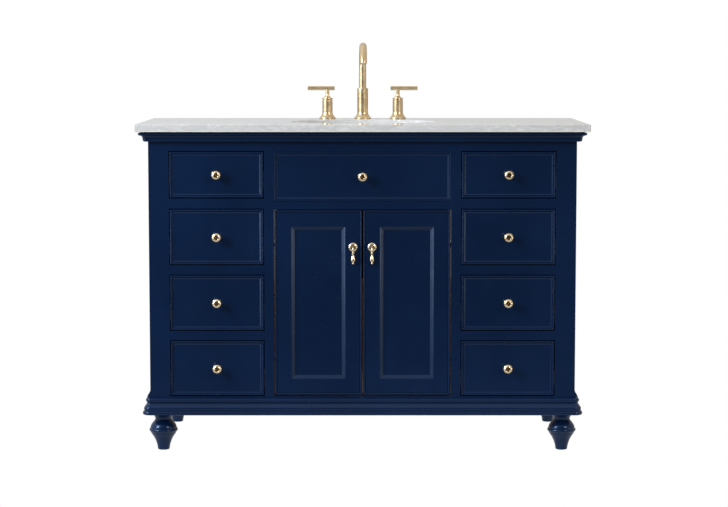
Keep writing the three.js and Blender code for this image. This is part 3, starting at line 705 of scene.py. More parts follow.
def moulding_tree():
    """Runs a profile along a path whose corners are rounded to a given radius."""
    tree, start, end = new_tree(
        "run_of_moulding",
        "GeometryNodeTree",
        [
            ("Path", "shape"),
            ("Profile", "thing"),
            ("Corner", "value"),
            ("Corner Steps", "count"),
            ("Finish", "finish"),
        ],
        [("Shape", "shape")],
    )
    path = add(tree, "GeometryNodeMeshToCurve", {0: start["Path"]})
    inputs = {"Curve": path.outputs[0], "Count": start["Corner Steps"], "Radius": start["Corner"]}
    rounded = add(tree, "GeometryNodeFilletCurve", inputs, mode="POLY")
    level = add(tree, "GeometryNodeSetCurveNormal", {"Curve": rounded.outputs[0]}, mode="Z_UP")
    section = add(tree, "GeometryNodeObjectInfo", {"Object": start["Profile"]}, transform_space="ORIGINAL")
    outline = add(tree, "GeometryNodeMeshToCurve", {0: section.outputs["Geometry"]})
    inputs = {"Curve": level.outputs[0], "Profile Curve": outline.outputs[0], "Fill Caps": True}
    swept = add(tree, "GeometryNodeCurveToMesh", inputs)
    return finished(tree, swept.outputs[0], start, end)


ROWS_TREE = rows_tree()
MOULDING_TREE = moulding_tree()


def grown(holder, tree, **inputs):
    """The mesh that a tree grows from a plain object, with the object and its modifier gone."""
    modifier = holder.modifiers.new("tree", "NODES")
    modifier.node_group = tree
    sockets = {s.name: s.identifier for s in tree.interface.items_tree if s.in_out == "INPUT"}
    for label, value in inputs.items():
        modifier[sockets[label.replace("_", " ")]] = value
    bpy.context.view_layer.update()
    graph = bpy.context.evaluated_depsgraph_get()
    mesh = bpy.data.meshes.new_from_object(holder.evaluated_get(graph))
    holder.modifiers.remove(modifier)
    remove(holder)
    return mesh


def stood(part, places, finish, count=1, step=(0, 0, 0), twist=0.0, seed=1):
    """One mesh of a part stood on places, each given as a point and the way it faces."""
    holder = loose_mesh("places", [point for point, facing in places])
    turn = holder.data.attributes.new("turn", "FLOAT_VECTOR", "POINT")
    for entry, (point, facing) in zip(turn.data, places):
        if not isinstance(facing, Euler):
            facing = Vector(facing).to_track_quat("Z", "Y").to_euler()
        entry.vector = tuple(facing)
    step = tuple(v * MM for v in step)
    settings = {"Part": part, "Count": count, "Step": step, "Twist": twist, "Seed": seed}
    return grown(holder, ROWS_TREE, **settings, Finish=finish)


def moulding(name, profile, path, corner, finish, body, slot, stands_for=(), sharp=32):
    """A moulding run along a path from its right-hand end, with its profile out and up from it."""
    count = len(profile)
    ring = [(i, (i + 1) % count) for i in range(count)]
    section = loose_mesh("section", [(-out, -rise, 0) for out, rise in profile], ring)
    holder = loose_mesh("path", path, [(i, i + 1) for i in range(len(path) - 1)])
    settings = {"Profile": section, "Corner": corner * MM, "Corner_Steps": 10, "Finish": finish}
    mesh = grown(holder, MOULDING_TREE, **settings)
    remove(section)
    return Piece(name, finish).add_mesh(mesh).made(body, slot, stands_for, sharp)


def screwed(name, screw, places, body="cabinet", finish=None, seed=1):
    """Screw heads stood on places, each turned by chance, as one piece."""
    finish = finish or ZINC
    mesh = stood(screw, places, finish, twist=math.tau, seed=seed)
    Piece(name, finish).add_mesh(mesh).made(body, "zinc_steel")


# Small parts that are stood in rows: a cross-recessed screw head, a dovetail pin's end, a thread turn.
def loose_part(piece):
    """A part's mesh on an object of its own, for a tree to read."""
    return placed(piece.name, piece.closed_mesh(35))


def screw_head(radius, rise):
    """A domed head with a cross cut into it, its foot at the origin."""
    head = Piece("screw_head")
    steps = 24
    slot = radius * 0.18
    reach = radius * 0.62

    def ring(size, height):
        turns = [math.tau * (i + 0.5) / steps for i in range(steps)]
        return [(size * math.cos(a), size * math.sin(a), height) for a in turns]

    def cross(height, size):
        points = []
        for i in range(steps):
            a = math.tau * (i + 0.5) / steps
            x, y = math.cos(a), math.sin(a)
            if min(abs(x), abs(y)) / max(abs(x), abs(y)) < 0.42:
                arm = size * reach
                long, short = (x, y) if abs(x) > abs(y) else (y, x)
                u, v = math.copysign(arm, long), max(-slot, min(slot, short * arm * 2))
                points.append((u, v, height) if abs(x) > abs(y) else (v, u, height))
            else:
                points.append((math.copysign(slot, x), math.copysign(slot, y), height))
        return points

    rings = [[(0, 0, 0)], ring(radius, 0), ring(radius, rise * 0.25), ring(radius * 0.93, rise * 0.7)]
    rings += [ring(radius * 0.75, rise), cross(rise, 1.0), cross(rise * 0.45, 0.8), [(0, 0, rise * 0.4)]]
    return loose_part(head.skin(rings))


# ---- Cabinet ----
def face_frame():
    """Four full-height stiles with rails between them, each a board of its own."""
    bay = (false_low.x - GAP, false_high.x + GAP)
    banks = []
    for side, _ in SIDES:
        low, high = box_mm(f"drawer_front_{side}_1")
        banks.append((low.x - REVEAL, high.x + REVEAL))
    back = frame_high.y
    piece = Piece("face_frame_boards", NAVY_UPRIGHT, NAVY_LEVEL)
    edges = [-BODY_HALF, *banks[0], *bay, *banks[1], BODY_HALF]
    for left, right in zip(edges[::2], edges[1::2]):
        piece.board((left, FACE, FOOT_Z), (right, back, CABINET_TOP))
    for bank, (side, _) in zip(banks, SIDES):
        edge = CABINET_TOP
        for row in ROWS:
            low, high = box_mm(f"drawer_front_{side}_{row}")
            piece.board((bank[0], FACE, high.z + REVEAL), (bank[1], back, edge), finish=1)
            edge = low.z - REVEAL
        piece.board((bank[0], FACE, FOOT_Z), (bank[1], back, edge), finish=1)
    rails = [(false_high.z + GAP, CABINET_TOP), (DOOR_TOP + DOOR_TOP_GAP, false_low.z - GAP)]
    for foot, top in rails + [(FOOT_Z, edge)]:
        piece.board((bay[0], FACE, foot), (bay[1], back, top), finish=1)
    piece.made("cabinet", "navy_paint", ("face_frame",))


def crown():
    """The moulding under the stone, mitred at the front with the corners softened."""
    piece = Piece("crown_moulding_run", NAVY_LEVEL)
    corner, steps = 9.0, 5
    stations = [[] for _ in range(2 * (steps + 3))]
    for out, rise in CROWN:
        x, front = BODY_HALF + GAP + out, FACE - GAP - out
        soft = min(corner, out + GAP)
        turn = arc((x - soft, front + soft), soft, 0, -90, steps)
        half = [(x, BACK), (x, front + soft + 0.01)] + turn
        path = half + [(-px, py) for px, py in reversed(half)]
        for station, (px, py) in zip(stations, path):
            station.append((px, py, CROWN_FOOT + rise))
    piece.skin(stations, fill=True).made("cabinet", "navy_paint", ("crown_moulding",))


def base():
    """The base moulding round the front and sides, and a cove over it on each side."""
    half, front = BODY_HALF + GAP, FACE - GAP
    path = [(half, BACK, FOOT_Z), (half, front, FOOT_Z), (-half, front, FOOT_Z), (-half, BACK, FOOT_Z)]
    stands_for = ("base_moulding",)
    moulding("base_moulding_run", BASE, path, 1.2, NAVY_LEVEL, "cabinet", "navy_paint", stands_for, 38)
    rise = FOOT_Z + BASE[-1][1]
    for side, sign in SIDES:
        ends = [(sign * half, BACK, rise), (sign * half, FACE + 0.2, rise)]
        path = ends if sign > 0 else ends[::-1]
        moulding(f"side_cove_{side}", SIDE_COVE, path, 0.1, NAVY_LEVEL, "cabinet", "navy_paint")


def feet():
    """Four turned feet, each with a glue block over it, inside the base."""
    block_x, block_depth, clear = (490, 557.5), 65.5, 0.5
    for side, sign in SIDES:
        for end in ("front", "back"):
            low, high = box_mm(f"foot_{end}_{side}")
            x, y = (low.x + high.x) / 2, (low.y + high.y) / 2
            piece = Piece(f"turned_foot_{end}_{side}", NAVY_ROUND)
            piece.turned(FOOT, (x, y, 0), steps=72)
            piece.made("cabinet", "navy_paint", (f"foot_{end}_{side}",), 42)
            block = Piece(f"foot_block_{end}_{side}", PLY_Z)
            near = FACE + FRONT_T + clear if end == "front" else back_low.y - clear - block_depth
            inner, outer = (sign * x for x in block_x)
            foot, top = FOOT_Z + 0.2, floor_low.z - 0.2
            block.board((inner, near, foot), (outer, near + block_depth, top), 1.0)
            block.made("cabinet", "birch_ply")


def repaint(node, finish):
    """A finish on a plain board that is kept as it comes in the frame."""
    materials = frame["nodes"][node].data.materials
    materials.clear()
    materials.append(finish)


def carcase():
    """The boards behind the face frame, with their plies at the sawn edges."""
    for side, _ in SIDES:
        piece = Piece(f"partition_board_{side}", PARTITION_PLY)
        piece.board(*box_mm(f"partition_{side}"), 0.4)
        piece.made("cabinet", "birch_ply", (f"partition_{side}",))
    piece = Piece("floor_board", FLOOR_PLY).board(floor_low, floor_high, 0.4)
    piece.made("cabinet", "birch_ply", ("cabinet_floor",))
    for side, _ in SIDES:
        repaint(f"side_panel_{side}", NAVY_UPRIGHT)
    repaint("back_panel", PLY_BACK)


# ---- Fronts ----
def front_ring(low, high, inset, depth):
    """A rectangle inside the edge of a front, at a depth behind the face."""
    x0, x1, z0, z1 = low.x + inset, high.x - inset, low.z + inset, high.z - inset
    y = FACE + depth
    return [(x0, y, z0), (x1, y, z0), (x1, y, z1), (x0, y, z1)]


def lipped_front(name, low, high):
    """A drawer front: a beaded lip, a groove, a slope and a sunk flat field."""
    rings = [front_ring(low, high, *p) for p in LIP + FIELD_SLOPE]
    return Piece(name, NAVY_LEVEL).skin(rings, crisp=range(4), fill=True)


def knob(name, node, body):
    """A turned knob, its dish given dark brass as painted reflection and shade."""
    low, high = box_mm(node)
    middle = ((low.x + high.x) / 2, high.y, (low.z + high.z) / 2)
    piece = Piece(name, PULL_BRASS, SHADE_PAINTED_BRASS)
    piece.turned(KNOB, middle, FORWARD, 48)
    for face in piece.bm.faces:
        centre = face.calc_center_median()
        radius = math.hypot(centre.x - middle[0], centre.z - middle[2])
        # Dark brass in the dish: painted reflection and shade.
        if radius < KNOB_DISH and middle[1] - centre.y > KNOB_NECK:
            face.material_index = 1
    piece.made(body, "pull_brass", (node,), 48)


def dovetail_pin():
    """The end of one dovetail pin, wider towards the front of the drawer."""
    piece = Piece("dovetail_pin")
    wide, narrow, deep, proud = 5.2, 3.4, 12, 0.12
    foot = [(-narrow, deep / 2, 0), (narrow, deep / 2, 0), (wide, -deep / 2, 0), (-wide, -deep / 2, 0)]
    top = [(x * 0.98, y * 0.99, proud) for x, y, z in foot]
    return loose_part(piece.skin([foot, top], fill=True))


def drawer_box(tag, body, pin, screw):
    """A ply box: long sides, ends between them, a thin bottom, and dovetails at the corners."""
    low, high = box_mm(f"drawer_box_{tag}")
    arris, groove, pin_room, screw_inset = 1.0, 4, 24, 45
    left, right = low.x + BOX_WALL, high.x - BOX_WALL
    piece = Piece(f"drawer_box_{tag}_boards", PLY_X, PLY_Y, PLY_Z)
    piece.board(low, (left, high.y, high.z), arris, 0, 2)
    piece.board((right, low.y, low.z), high, arris, 0, 2)
    for near in (low.y, high.y - BOX_WALL):
        piece.board((left, near, low.z), (right, near + BOX_WALL, high.z), arris, 1, 2)
    near, far = low.y + BOX_WALL - groove, high.y - BOX_WALL + groove
    piece.board((left - groove, near, low.z + 1), (right + groove, far, low.z + 6), 0.2, 2)
    piece.made(body, "birch_ply", (f"drawer_box_{tag}",))
    pins = max(3, int((high.z - low.z) / pin_room))
    pitch = (high.z - low.z) / pins
    places = []
    for x, out in ((low.x, -1), (high.x, 1)):
        for y, end in ((low.y + BOX_WALL / 2, 1), (high.y - BOX_WALL / 2, -1)):
            facing = Matrix(((0, 0, out), (0, end, 0), (-out * end, 0, 0))).to_euler()
            places.append(((x, y, low.z + pitch / 2), facing))
    mesh = stood(pin, places, END_GRAIN, pins, (0, 0, pitch))
    Piece(f"dovetail_pins_{tag}", END_GRAIN).add_mesh(mesh).made(body, "birch_ply")
    near, middle = low.y + BOX_WALL, (low.z + high.z) / 2
    heads = [((x, near, middle), (0, 1, 0)) for x in (low.x + screw_inset, high.x - screw_inset)]
    screwed(f"front_screws_{tag}", screw, heads, body, seed=len(tag) + int(tag[-1]))


def channel(wall, out, web, height, lip):
    """The section of a runner member: a web against a wall, with two lipped flanges."""
    half, reach = height / 2, wall + out * web
    inside, back = reach - out * STEEL_T, wall + out * STEEL_T
    lower = [(wall, half), (reach, half), (reach, half - lip), (inside, half - lip)]
    lower += [(inside, half - STEEL_T), (back, half - STEEL_T)]
    return [(x, 0, -rise) for x, rise in lower] + [(x, 0, rise) for x, rise in reversed(lower)]


def runners(side, row, body, screw):
    """Two-part ball runners: one part on a packer on the cabinet, the other on the drawer box."""
    low, high = box_mm(f"drawer_box_{side}_{row}")
    middle, near, far = low.z + 36, low.y + 3, high.y - 6
    room, packer_half = 12.9, 24
    walls = [PARTITION_OUTSIDE, SIDE_INSIDE]
    if side == "left":
        walls = [-SIDE_INSIDE, -PARTITION_OUTSIDE]
    fixed = Piece(f"runner_{side}_{row}", ZINC)
    sliding = Piece(f"drawer_runner_{side}_{row}", ZINC)
    packers = Piece(f"runner_packer_{side}_{row}", NAVY_UPRIGHT)
    places = []
    for wall, box_side, out in zip(walls, (low.x, high.x), (1, -1)):
        seat = box_side - out * room
        foot = (wall + out * 0.15, near - 2, middle - packer_half)
        packers.board(foot, (seat - out * 0.1, far + 10, middle + packer_half), 0.6)
        section = channel(seat, out, 10.2, 45, 7)
        fixed.run(section, (0, near, middle), (0, far, middle))
        section = channel(box_side - out * 0.1, -out, 9.4, 29, 5)
        sliding.run(section, (0, near + 1, middle), (0, far - 12, middle))
        for share in (0.08, 0.5, 0.92):
            y = near + share * (far - near)
            places.append(((seat + out * STEEL_T, y, middle), (out, 0, 0)))
    packers.made("cabinet", "navy_paint")
    fixed.made("cabinet", "zinc_steel", sharp=40)
    sliding.made(body, "zinc_steel", sharp=40)
    screwed(f"runner_screws_{side}_{row}", screw, places, seed=20 + row)


def drawers(pin, screw):
    """Eight drawers, each with its front, knob, box and runners."""
    for side, _ in SIDES:
        for row in ROWS:
            tag = f"{side}_{row}"
            body = f"drawer_{tag}"
            node = f"drawer_front_{tag}"
            front = lipped_front(f"{node}_lipped", *box_mm(node))
            front.made(body, "navy_paint", (node,), 20)
            knob(f"drawer_knob_{tag}_turned", f"drawer_knob_{tag}", body)
            drawer_box(tag, body, pin, screw)
            runners(side, row, body, screw)


def false_front(screw):
    """The fixed front over the doors, with its knob and the four clips that hold it to the frame."""
    front = lipped_front("false_front_lipped", false_low, false_high)
    front.made("cabinet", "navy_paint", ("false_front",), 20)
    knob("false_front_knob_turned", "false_front_knob", "cabinet")
    clips = Piece("false_front_clips", ZINC)
    near, far = FACE + FRONT_T + 0.2, FACE + FRONT_T + 1.8
    places = []
    for x in (-190, 190):
        for z, up in ((false_low.z + 4, -1), (false_high.z - 4, 1)):
            clips.board((x - 9, near, z - up * 20), (x + 9, far, z + up * 16), 0.4)
            places += [((x, far, z + up * rise), (0, 1, 0)) for rise in (-13, 10)]
    clips.made("cabinet", "zinc_steel")
    screwed("false_front_clip_screws", screw, places, seed=31)


def door_leaf(side):
    """A lip round four boards, with a slope down to the sunk panel. The stiles run full height."""
    low, high = box_mm(f"door_frame_{side}")
    piece = Piece(f"door_{side}_frame", NAVY_UPRIGHT, NAVY_LEVEL)
    lip = LIP + [(LIP_WIDTH, FRONT_T)]
    piece.skin([front_ring(low, high, *p) for p in lip], along=True, crisp=range(4))
    face, back = FACE + LIP_SINK, FACE + FRONT_T
    left, right = low.x + DOOR_STILE, high.x - DOOR_STILE
    foot, top = low.z + LIP_WIDTH, high.z - LIP_WIDTH
    for x0, x1 in ((low.x + LIP_WIDTH, left), (right, high.x - LIP_WIDTH)):
        piece.board((x0, face, foot), (x1, back, top), 0.25)
    for z0, z1 in ((foot, low.z + DOOR_STILE), (high.z - DOOR_STILE, top)):
        piece.board((left, face, z0), (right, back, z1), 0.25, 1)
    slope = [(0, FRONT_T), (0, 2.1), (0.5, 2.0)]
    slope += eased([(0.9, 2.2), (4, 4.4), (7, 7.0), (DOOR_SLOPE - 0.8, 8.9)], 2)
    slope += [(DOOR_SLOPE, 9.3), (DOOR_SLOPE, FRONT_T)]
    rings = [front_ring(low, high, DOOR_STILE + inset, depth) for inset, depth in slope]
    piece.skin(rings, along=True, crisp=range(4))
    piece.made(f"door_{side}", "navy_paint", (f"door_frame_{side}",), 24)
    repaint(f"door_panel_{side}", NAVY_UPRIGHT)


def pull(side):
    """A drop pull: a turned rosette with two ears and a pin, and the drop that hangs from it."""
    joint = [j for j in frame["joints"] if j["name"] == f"pull_{side}_swing"][0]
    pin = Vector(joint["pos_m"]) / MM
    foot = box_mm(f"pull_rosette_{side}")[1].y
    ear_inside, ear_outside = 1.85, 3.15
    piece = Piece(f"pull_rosette_{side}_turned", PULL_BRASS, SHADE_PAINTED_BRASS)
    piece.turned(ROSETTE, (pin.x, foot, pin.z), FORWARD, 56)
    outline = arc((pin.y, pin.z), 2.5, 90, 270, 10)
    outline += [(foot - 2.5, pin.z - 2.9), (foot - 2.5, pin.z + 2.9)]
    cap = [(0, 0), (1.5, 0), (1.3, 0.5), (0.7, 0.8), (0, 0.9)]
    # The ears and pin caps take the dark brass: painted shade round the hook.
    for sign in (-1, 1):
        faces = [pin.x + sign * out for out in (ear_inside, ear_outside)]
        piece.skin([[(x, y, z) for y, z in outline] for x in faces], fill=True, finish=1)
        piece.turned(cap, (faces[1], pin.y, pin.z), (sign, 0, 0), 20, finish=1)
    rod = [(0, -ear_inside), (1, -ear_inside), (1, ear_inside), (0, ear_inside)]
    piece.turned(rod, pin, (1, 0, 0), 20)
    piece.made(f"door_{side}", "pull_brass", (f"pull_rosette_{side}",), 40)
    drop = Piece(f"pull_drop_{side}_turned", PULL_BRASS)
    half = [(1.4, -0.7), (1.7, -1.25), (2.5, -1.3), (3.0, -0.8)]
    eye = eased(half + [(radius, -rise) for radius, rise in reversed(half)], 2)
    drop.turned(eye, pin, (1, 0, 0), 32, pipe=True)
    drop.turned([(radius, rise - 2.4) for radius, rise in DROP], pin, UP, 36)
    drop.made(f"pull_{side}", "pull_brass", (f"pull_drop_{side}",), 48)


def cup_hinge(side, sign, end, screw):
    """A concealed hinge: cup and flange on the door, plate and arm on the partition."""
    tag, door = f"{side}_{end}", f"door_{side}"
    low, high = box_mm(f"hinge_{tag}")
    near, far, z = low.y, high.y, (low.z + high.z) / 2
    wall = high.x if sign > 0 else low.x
    plate_t, saddle_t, arm_t = 1.8, 4.0, 3.2

    def off_wall(out, y, rise):
        return (wall - sign * out, y, z + rise)

    plate = Piece(f"hinge_plate_{tag}", ZINC)
    plate.board(off_wall(0, near + 14, -21), off_wall(plate_t, far, 21), 0.5)
    plate.board(off_wall(plate_t, near + 6, -8), off_wall(saddle_t, far - 4, 8), 0.8)
    arm = [(near, 0.2), (near + 3, 3.4), (far - 12, 3.0), (far - 3, 1.4), (far - 2, 0.0)]
    rings = [[off_wall(saddle_t + out, y, rise) for y, out in arm] for rise in (-6, 6)]
    plate.skin(rings, fill=True).made("cabinet", "zinc_steel", (f"hinge_{tag}",), 35)
    places = [(off_wall(plate_t, far - 24, rise), (-sign, 0, 0)) for rise in (-15, 15)]
    places.append((off_wall(saddle_t + arm_t, far - 22, 0), (-sign, 0, 0)))
    screwed(f"hinge_plate_screws_{tag}", screw, places, seed=41)
    edge = box_mm(f"door_frame_{side}")[1 if sign > 0 else 0].x
    x, y = edge - sign * 22.5, FACE + FRONT_T + 0.05
    cup = Piece(f"hinge_cup_{tag}", ZINC)
    bowl = [(0, 0), (19.5, 0), (20.0, 0.3), (19.6, 1.1), (17.4, 1.2), (16.6, 0.9), (15.8, 0.25), (0, 0.2)]
    cup.turned(bowl, (x, y, z), (0, 1, 0), 48)
    cup.board((x - 6.5, y, z - 30), (x + 6.5, y + CUP_FLANGE, z + 30), 0.5)
    cup.made(door, "zinc_steel", sharp=40)
    places = [((x, y + CUP_FLANGE, z + rise), (0, 1, 0)) for rise in (-24, 24)]
    screwed(f"hinge_cup_screws_{tag}", screw, places, door, seed=43)
    link = Piece(f"hinge_link_{tag}", DARK_STEEL)
    path = [(x + sign * out, y + rise) for out, rise in ((2, 1.0), (7, 4.0), (12, 6.6))]
    path.append((wall - sign * 5.5, near + 6))
    section = ((-0.9, -5), (0.9, -5), (0.9, 5), (-0.9, 5))
    link.skin([[(px, py + u, z + v) for u, v in section] for px, py in path], fill=True)
    link.made("cabinet", "zinc_steel", sharp=35)


def doors(screw):
    """Both doors with their pulls and hinges, and the strip behind the rail that they close against."""
    stop = Piece("door_stop_strip", NAVY_LEVEL)
    half, back = 232, frame_high.y + 0.2
    stop.board((-half, back, DOOR_TOP - 8), (half, back + 9, DOOR_TOP + 15), 0.6)
    stop.made("cabinet", "navy_paint")
    for side, sign in SIDES:
        door_leaf(side)
        pull(side)
        for end in ("upper", "lower"):
            cup_hinge(side, sign, end, screw)


def back_fixings(screw):
    """Screws round the edge of the back panel."""
    inset = 9
    left, right = back_low.x + inset, back_high.x - inset
    foot, top = back_low.z + inset, back_high.z - inset
    across = [left + (right - left) * i / 6 for i in range(7)]
    upright = [foot + (top - foot) * i / 5 for i in range(1, 5)]
    places = [((x, back_high.y, z), (0, 1, 0)) for x in across for z in (foot, top)]
    places += [((x, back_high.y, z), (0, 1, 0)) for x in (left, right) for z in upright]
    screwed("back_panel_screws", screw, places, finish=DARK_STEEL, seed=53)


# ---- Stone, bowl and drain ----
def oval(centre, half, z, steps):
    turns = [math.tau * i / steps for i in range(steps)]
    return [(centre[0] + half[0] * math.cos(a), centre[1] + half[1] * math.sin(a), z) for a in turns]


def slab_outline(inset, z, corner=3.0):
    """The slab's edge with its upright corners rounded, drawn in by an inset."""
    x, y0, y1 = stone_high.x - inset, stone_low.y + inset, stone_high.y - inset
    r = max(corner - inset, 0.6)
    corners = ((x - r, y1 - r, 0), (-x + r, y1 - r, 90), (-x + r, y0 + r, 180), (x - r, y0 + r, 270))
    return [(px, py, z) for cx, cy, a in corners for px, py in arc((cx, cy), r, a, a + 90, 5)]


def stone_top():
    """The slab with eased edges, the bowl's cut-out and the three tap holes, each with its arris off."""
    top, foot = stone_high.z, stone_low.z
    piece = Piece("stone_slab", MARBLE)
    bm = piece.bm
    ease, under_ease, tap_hole = 1.6, 2.4, 17.5
    edge = arc((ease, top - ease), ease, 90, 180, 4)
    edge += arc((under_ease, foot + under_ease), under_ease, 180, 270, 4)
    loops = [[slab_outline(*p) for p in edge]]
    hole_edges = [(-1.2, top), (-0.7, top - 0.15), (-0.2, top - 0.6), (0, top - 1.3)]
    hole_edges += [(0, foot + 1.0), (-0.3, foot + 0.3), (-1.0, foot)]
    holes = [((0, BOWL_Y), BOWL_HALF, 128)]
    holes += [((x, TAP_Y), (tap_hole, tap_hole), 32) for x in TAP_HOLES]
    for centre, half, steps in holes:
        loops.append([oval(centre, [r - grow for r in half], z, steps) for grow, z in hole_edges])
    rims = {"top": [], "foot": []}
    for loop in loops:
        rows = [[bm.verts.new(p) for p in ring] for ring in loop]
        for here, there in zip(rows, rows[1:]):
            for i in range(len(here)):
                j = (i + 1) % len(here)
                bm.faces.new((here[i], here[j], there[j], there[i]))
        for label, row in (("top", rows[0]), ("foot", rows[-1])):
            rims[label] += [bm.edges.get((row[i], row[(i + 1) % len(row)])) for i in range(len(row))]
    for label, normal in (("top", (0, 0, 1)), ("foot", (0, 0, -1))):
        bmesh.ops.triangle_fill(bm, edges=rims[label], use_beauty=True, normal=normal)
    piece.made("cabinet", "marble", ("stone_top",), 40)


def bowl():
    """The undermount bowl, from its rim down the inside, through the drain hole and up the outside."""
    top = box_mm("sink_bowl")[1].z
    depth, wall, steps, turns = top - DRAIN_Z, 9, 96, 22
    fullness = 2 / 2.6  # a fuller section than an ellipse's
    rim = [r + 3 for r in BOWL_HALF]
    seat, ledge_width, ledge_t = 34, 22, 10

    def level(half, grow, z):
        return oval((0, BOWL_Y), [r + grow for r in half], z, steps)

    def wall_ring(share, grow):
        angle = share * math.pi / 2
        across, down = math.cos(angle) ** fullness, math.sin(angle) ** fullness
        half = [seat + (r + grow - seat) * across for r in rim]
        return level(half, 0, top - (depth + grow) * down)

    rings = [level(rim, 1.4, top), level(rim, 0.4, top - 0.5)]
    rings += [wall_ring(0.02 + 0.98 * t / turns, 0) for t in range(turns + 1)]
    for radius, sink in ((30, 0.6), (24, 1.2), (22, 2.6), (22, wall), (30, wall)):
        rings.append(level((radius, radius), 0, DRAIN_Z - sink))
    rings += [wall_ring(1 - 0.94 * t / turns, wall) for t in range(1, turns + 1)]
    ledge = [r + ledge_width for r in rim]
    rings += [level(rim, wall + 3, top - ledge_t), level(ledge, -1.5, top - ledge_t)]
    rings += [level(ledge, 0, top - 8.5), level(ledge, 0, top - 1.0), level(ledge, -1, top)]
    piece = Piece("glazed_bowl", CHINA).skin(rings, along=True)
    piece.made("cabinet", "glazed_china", ("sink_bowl",), 60)
    bead = [(0.3, 0), (2.9, 0), (2.9, -1.9), (1.4, -1.1)]
    rings = [level(BOWL_HALF, out, stone_low.z + rise) for out, rise in bead]
    sealant = Piece("bowl_sealant", SEALANT).skin(rings, along=True)
    sealant.made("cabinet", "glazed_china", sharp=60)
    return ledge


def bowl_clips(ledge, screw):
    """Four folded clips that hold the bowl's ledge against the stone."""
    piece = Piece("bowl_clips", ZINC)
    bend = [(-14, -10.4), (2, -10.4), (3.5, -2), (15, -2), (15, -0.2), (2, -0.2), (0.5, -12.1), (-14, -12.1)]
    half_width = 8
    places = []
    for degrees in (38, 142, 218, 322):
        a = math.radians(degrees)
        out = Vector((math.cos(a), math.sin(a), 0))
        across = UP.cross(out)
        edge = Vector((ledge[0] * math.cos(a), BOWL_Y + ledge[1] * math.sin(a), stone_low.z))
        rings = [[edge + out * u + across * w + UP * v for u, v in bend] for w in (-half_width, half_width)]
        piece.skin(rings, fill=True)
        places.append((edge + out * 9 - UP * 2, (0, 0, -1)))
    piece.made("cabinet", "zinc_steel", sharp=30)
    screwed("bowl_clip_screws", screw, places, seed=61)


def nut(bore, reach, foot, top, bevel=0.5):
    """The section of a nut with its outer corners taken off."""
    lower = [(bore, foot), (reach - bevel, foot), (reach, foot + 1)]
    return lower + [(reach, top - 1), (reach - bevel, top), (bore, top)]


def drain():
    """The drain's flange and nut, its gasket, the tail pipe under it, and the stopper in it."""
    middle = (0, BOWL_Y, DRAIN_Z)
    tube = [(16.9, -DRAIN_TAIL), (20, -DRAIN_TAIL), (20, -12), (20, 0.3)]
    lip = eased([(29.6, 0.3), (30, 0.9), (28.6, 2.2), (25.6, 3.0)], 2)
    inner = eased([(20.5, 3.0), (18.6, 2.3), (17.5, 0.6), (17.3, -4)], 2)
    piece = Piece("drain_flange_turned", TAP_BRASS)
    piece.turned(tube + lip + inner + [(16.9, 1 - DRAIN_TAIL)], middle, UP, 56, pipe=True)
    piece.turned(nut(20.2, 28, -27, -17), middle, UP, 6, pipe=True)
    piece.made("cabinet", "tap_brass", ("drain_flange",), 45)
    washer = [(20.4, -17), (31, -17), (31, -10), (26, -9.2), (20.4, -9.2)]
    gasket = Piece("drain_gasket", BLACK_RUBBER).turned(washer, middle, UP, 40, pipe=True)
    gasket.made("cabinet", None, sharp=45)
    pipe = [(14.9, -272), (15.9, -272), (15.9, -66), (14.9, -66)]
    tail = Piece("drain_tail_pipe", BLACK_PIPE).turned(pipe, middle, UP, 40, pipe=True)
    collar = [(16.1, -78), (22.5, -78), (23.5, -77), (23.5, -63)]
    collar += [(22.5, -62), (20.2, -62), (20.2, -71), (16.1, -71)]
    tail.turned(collar, middle, UP, 8, pipe=True).made("cabinet", None, sharp=40)
    cap = [(0, -39.7), (4, -39.7), (4, 0), (23.4, 0)]
    cap += eased([(24.3, 0.3), (24.5, 1.2), (23.4, 2.9), (18.6, 4.6), (11, 5.8), (0, 6.3)], 4)
    stopper = Piece("drain_stopper_turned", TAP_BRASS)
    stopper.turned(cap, (0, BOWL_Y, DRAIN_Z + 3.3), UP, 56)
    stopper.made("stopper", "tap_brass", ("drain_stopper",), 45)


# ---- Tap ----
def flange(rim, radius):
    """A shank through the stone, and the coved foot that stands on it."""
    lip = [(0, -75), (13.2, -75), (SHANK, -74.2), (SHANK, GAP), (rim - 0.4, GAP), (rim, 0.8)]
    lip += [(rim, 3.0), (rim - 0.9, 4.6), (rim - 2.4, 5.6)]
    cove = [(0.62, 6.4), (0.38, 9.2), (0.14, 13.6), (0, 19.5)]
    return lip + eased([(radius + share * (rim - radius), rise) for share, rise in cove], 3)


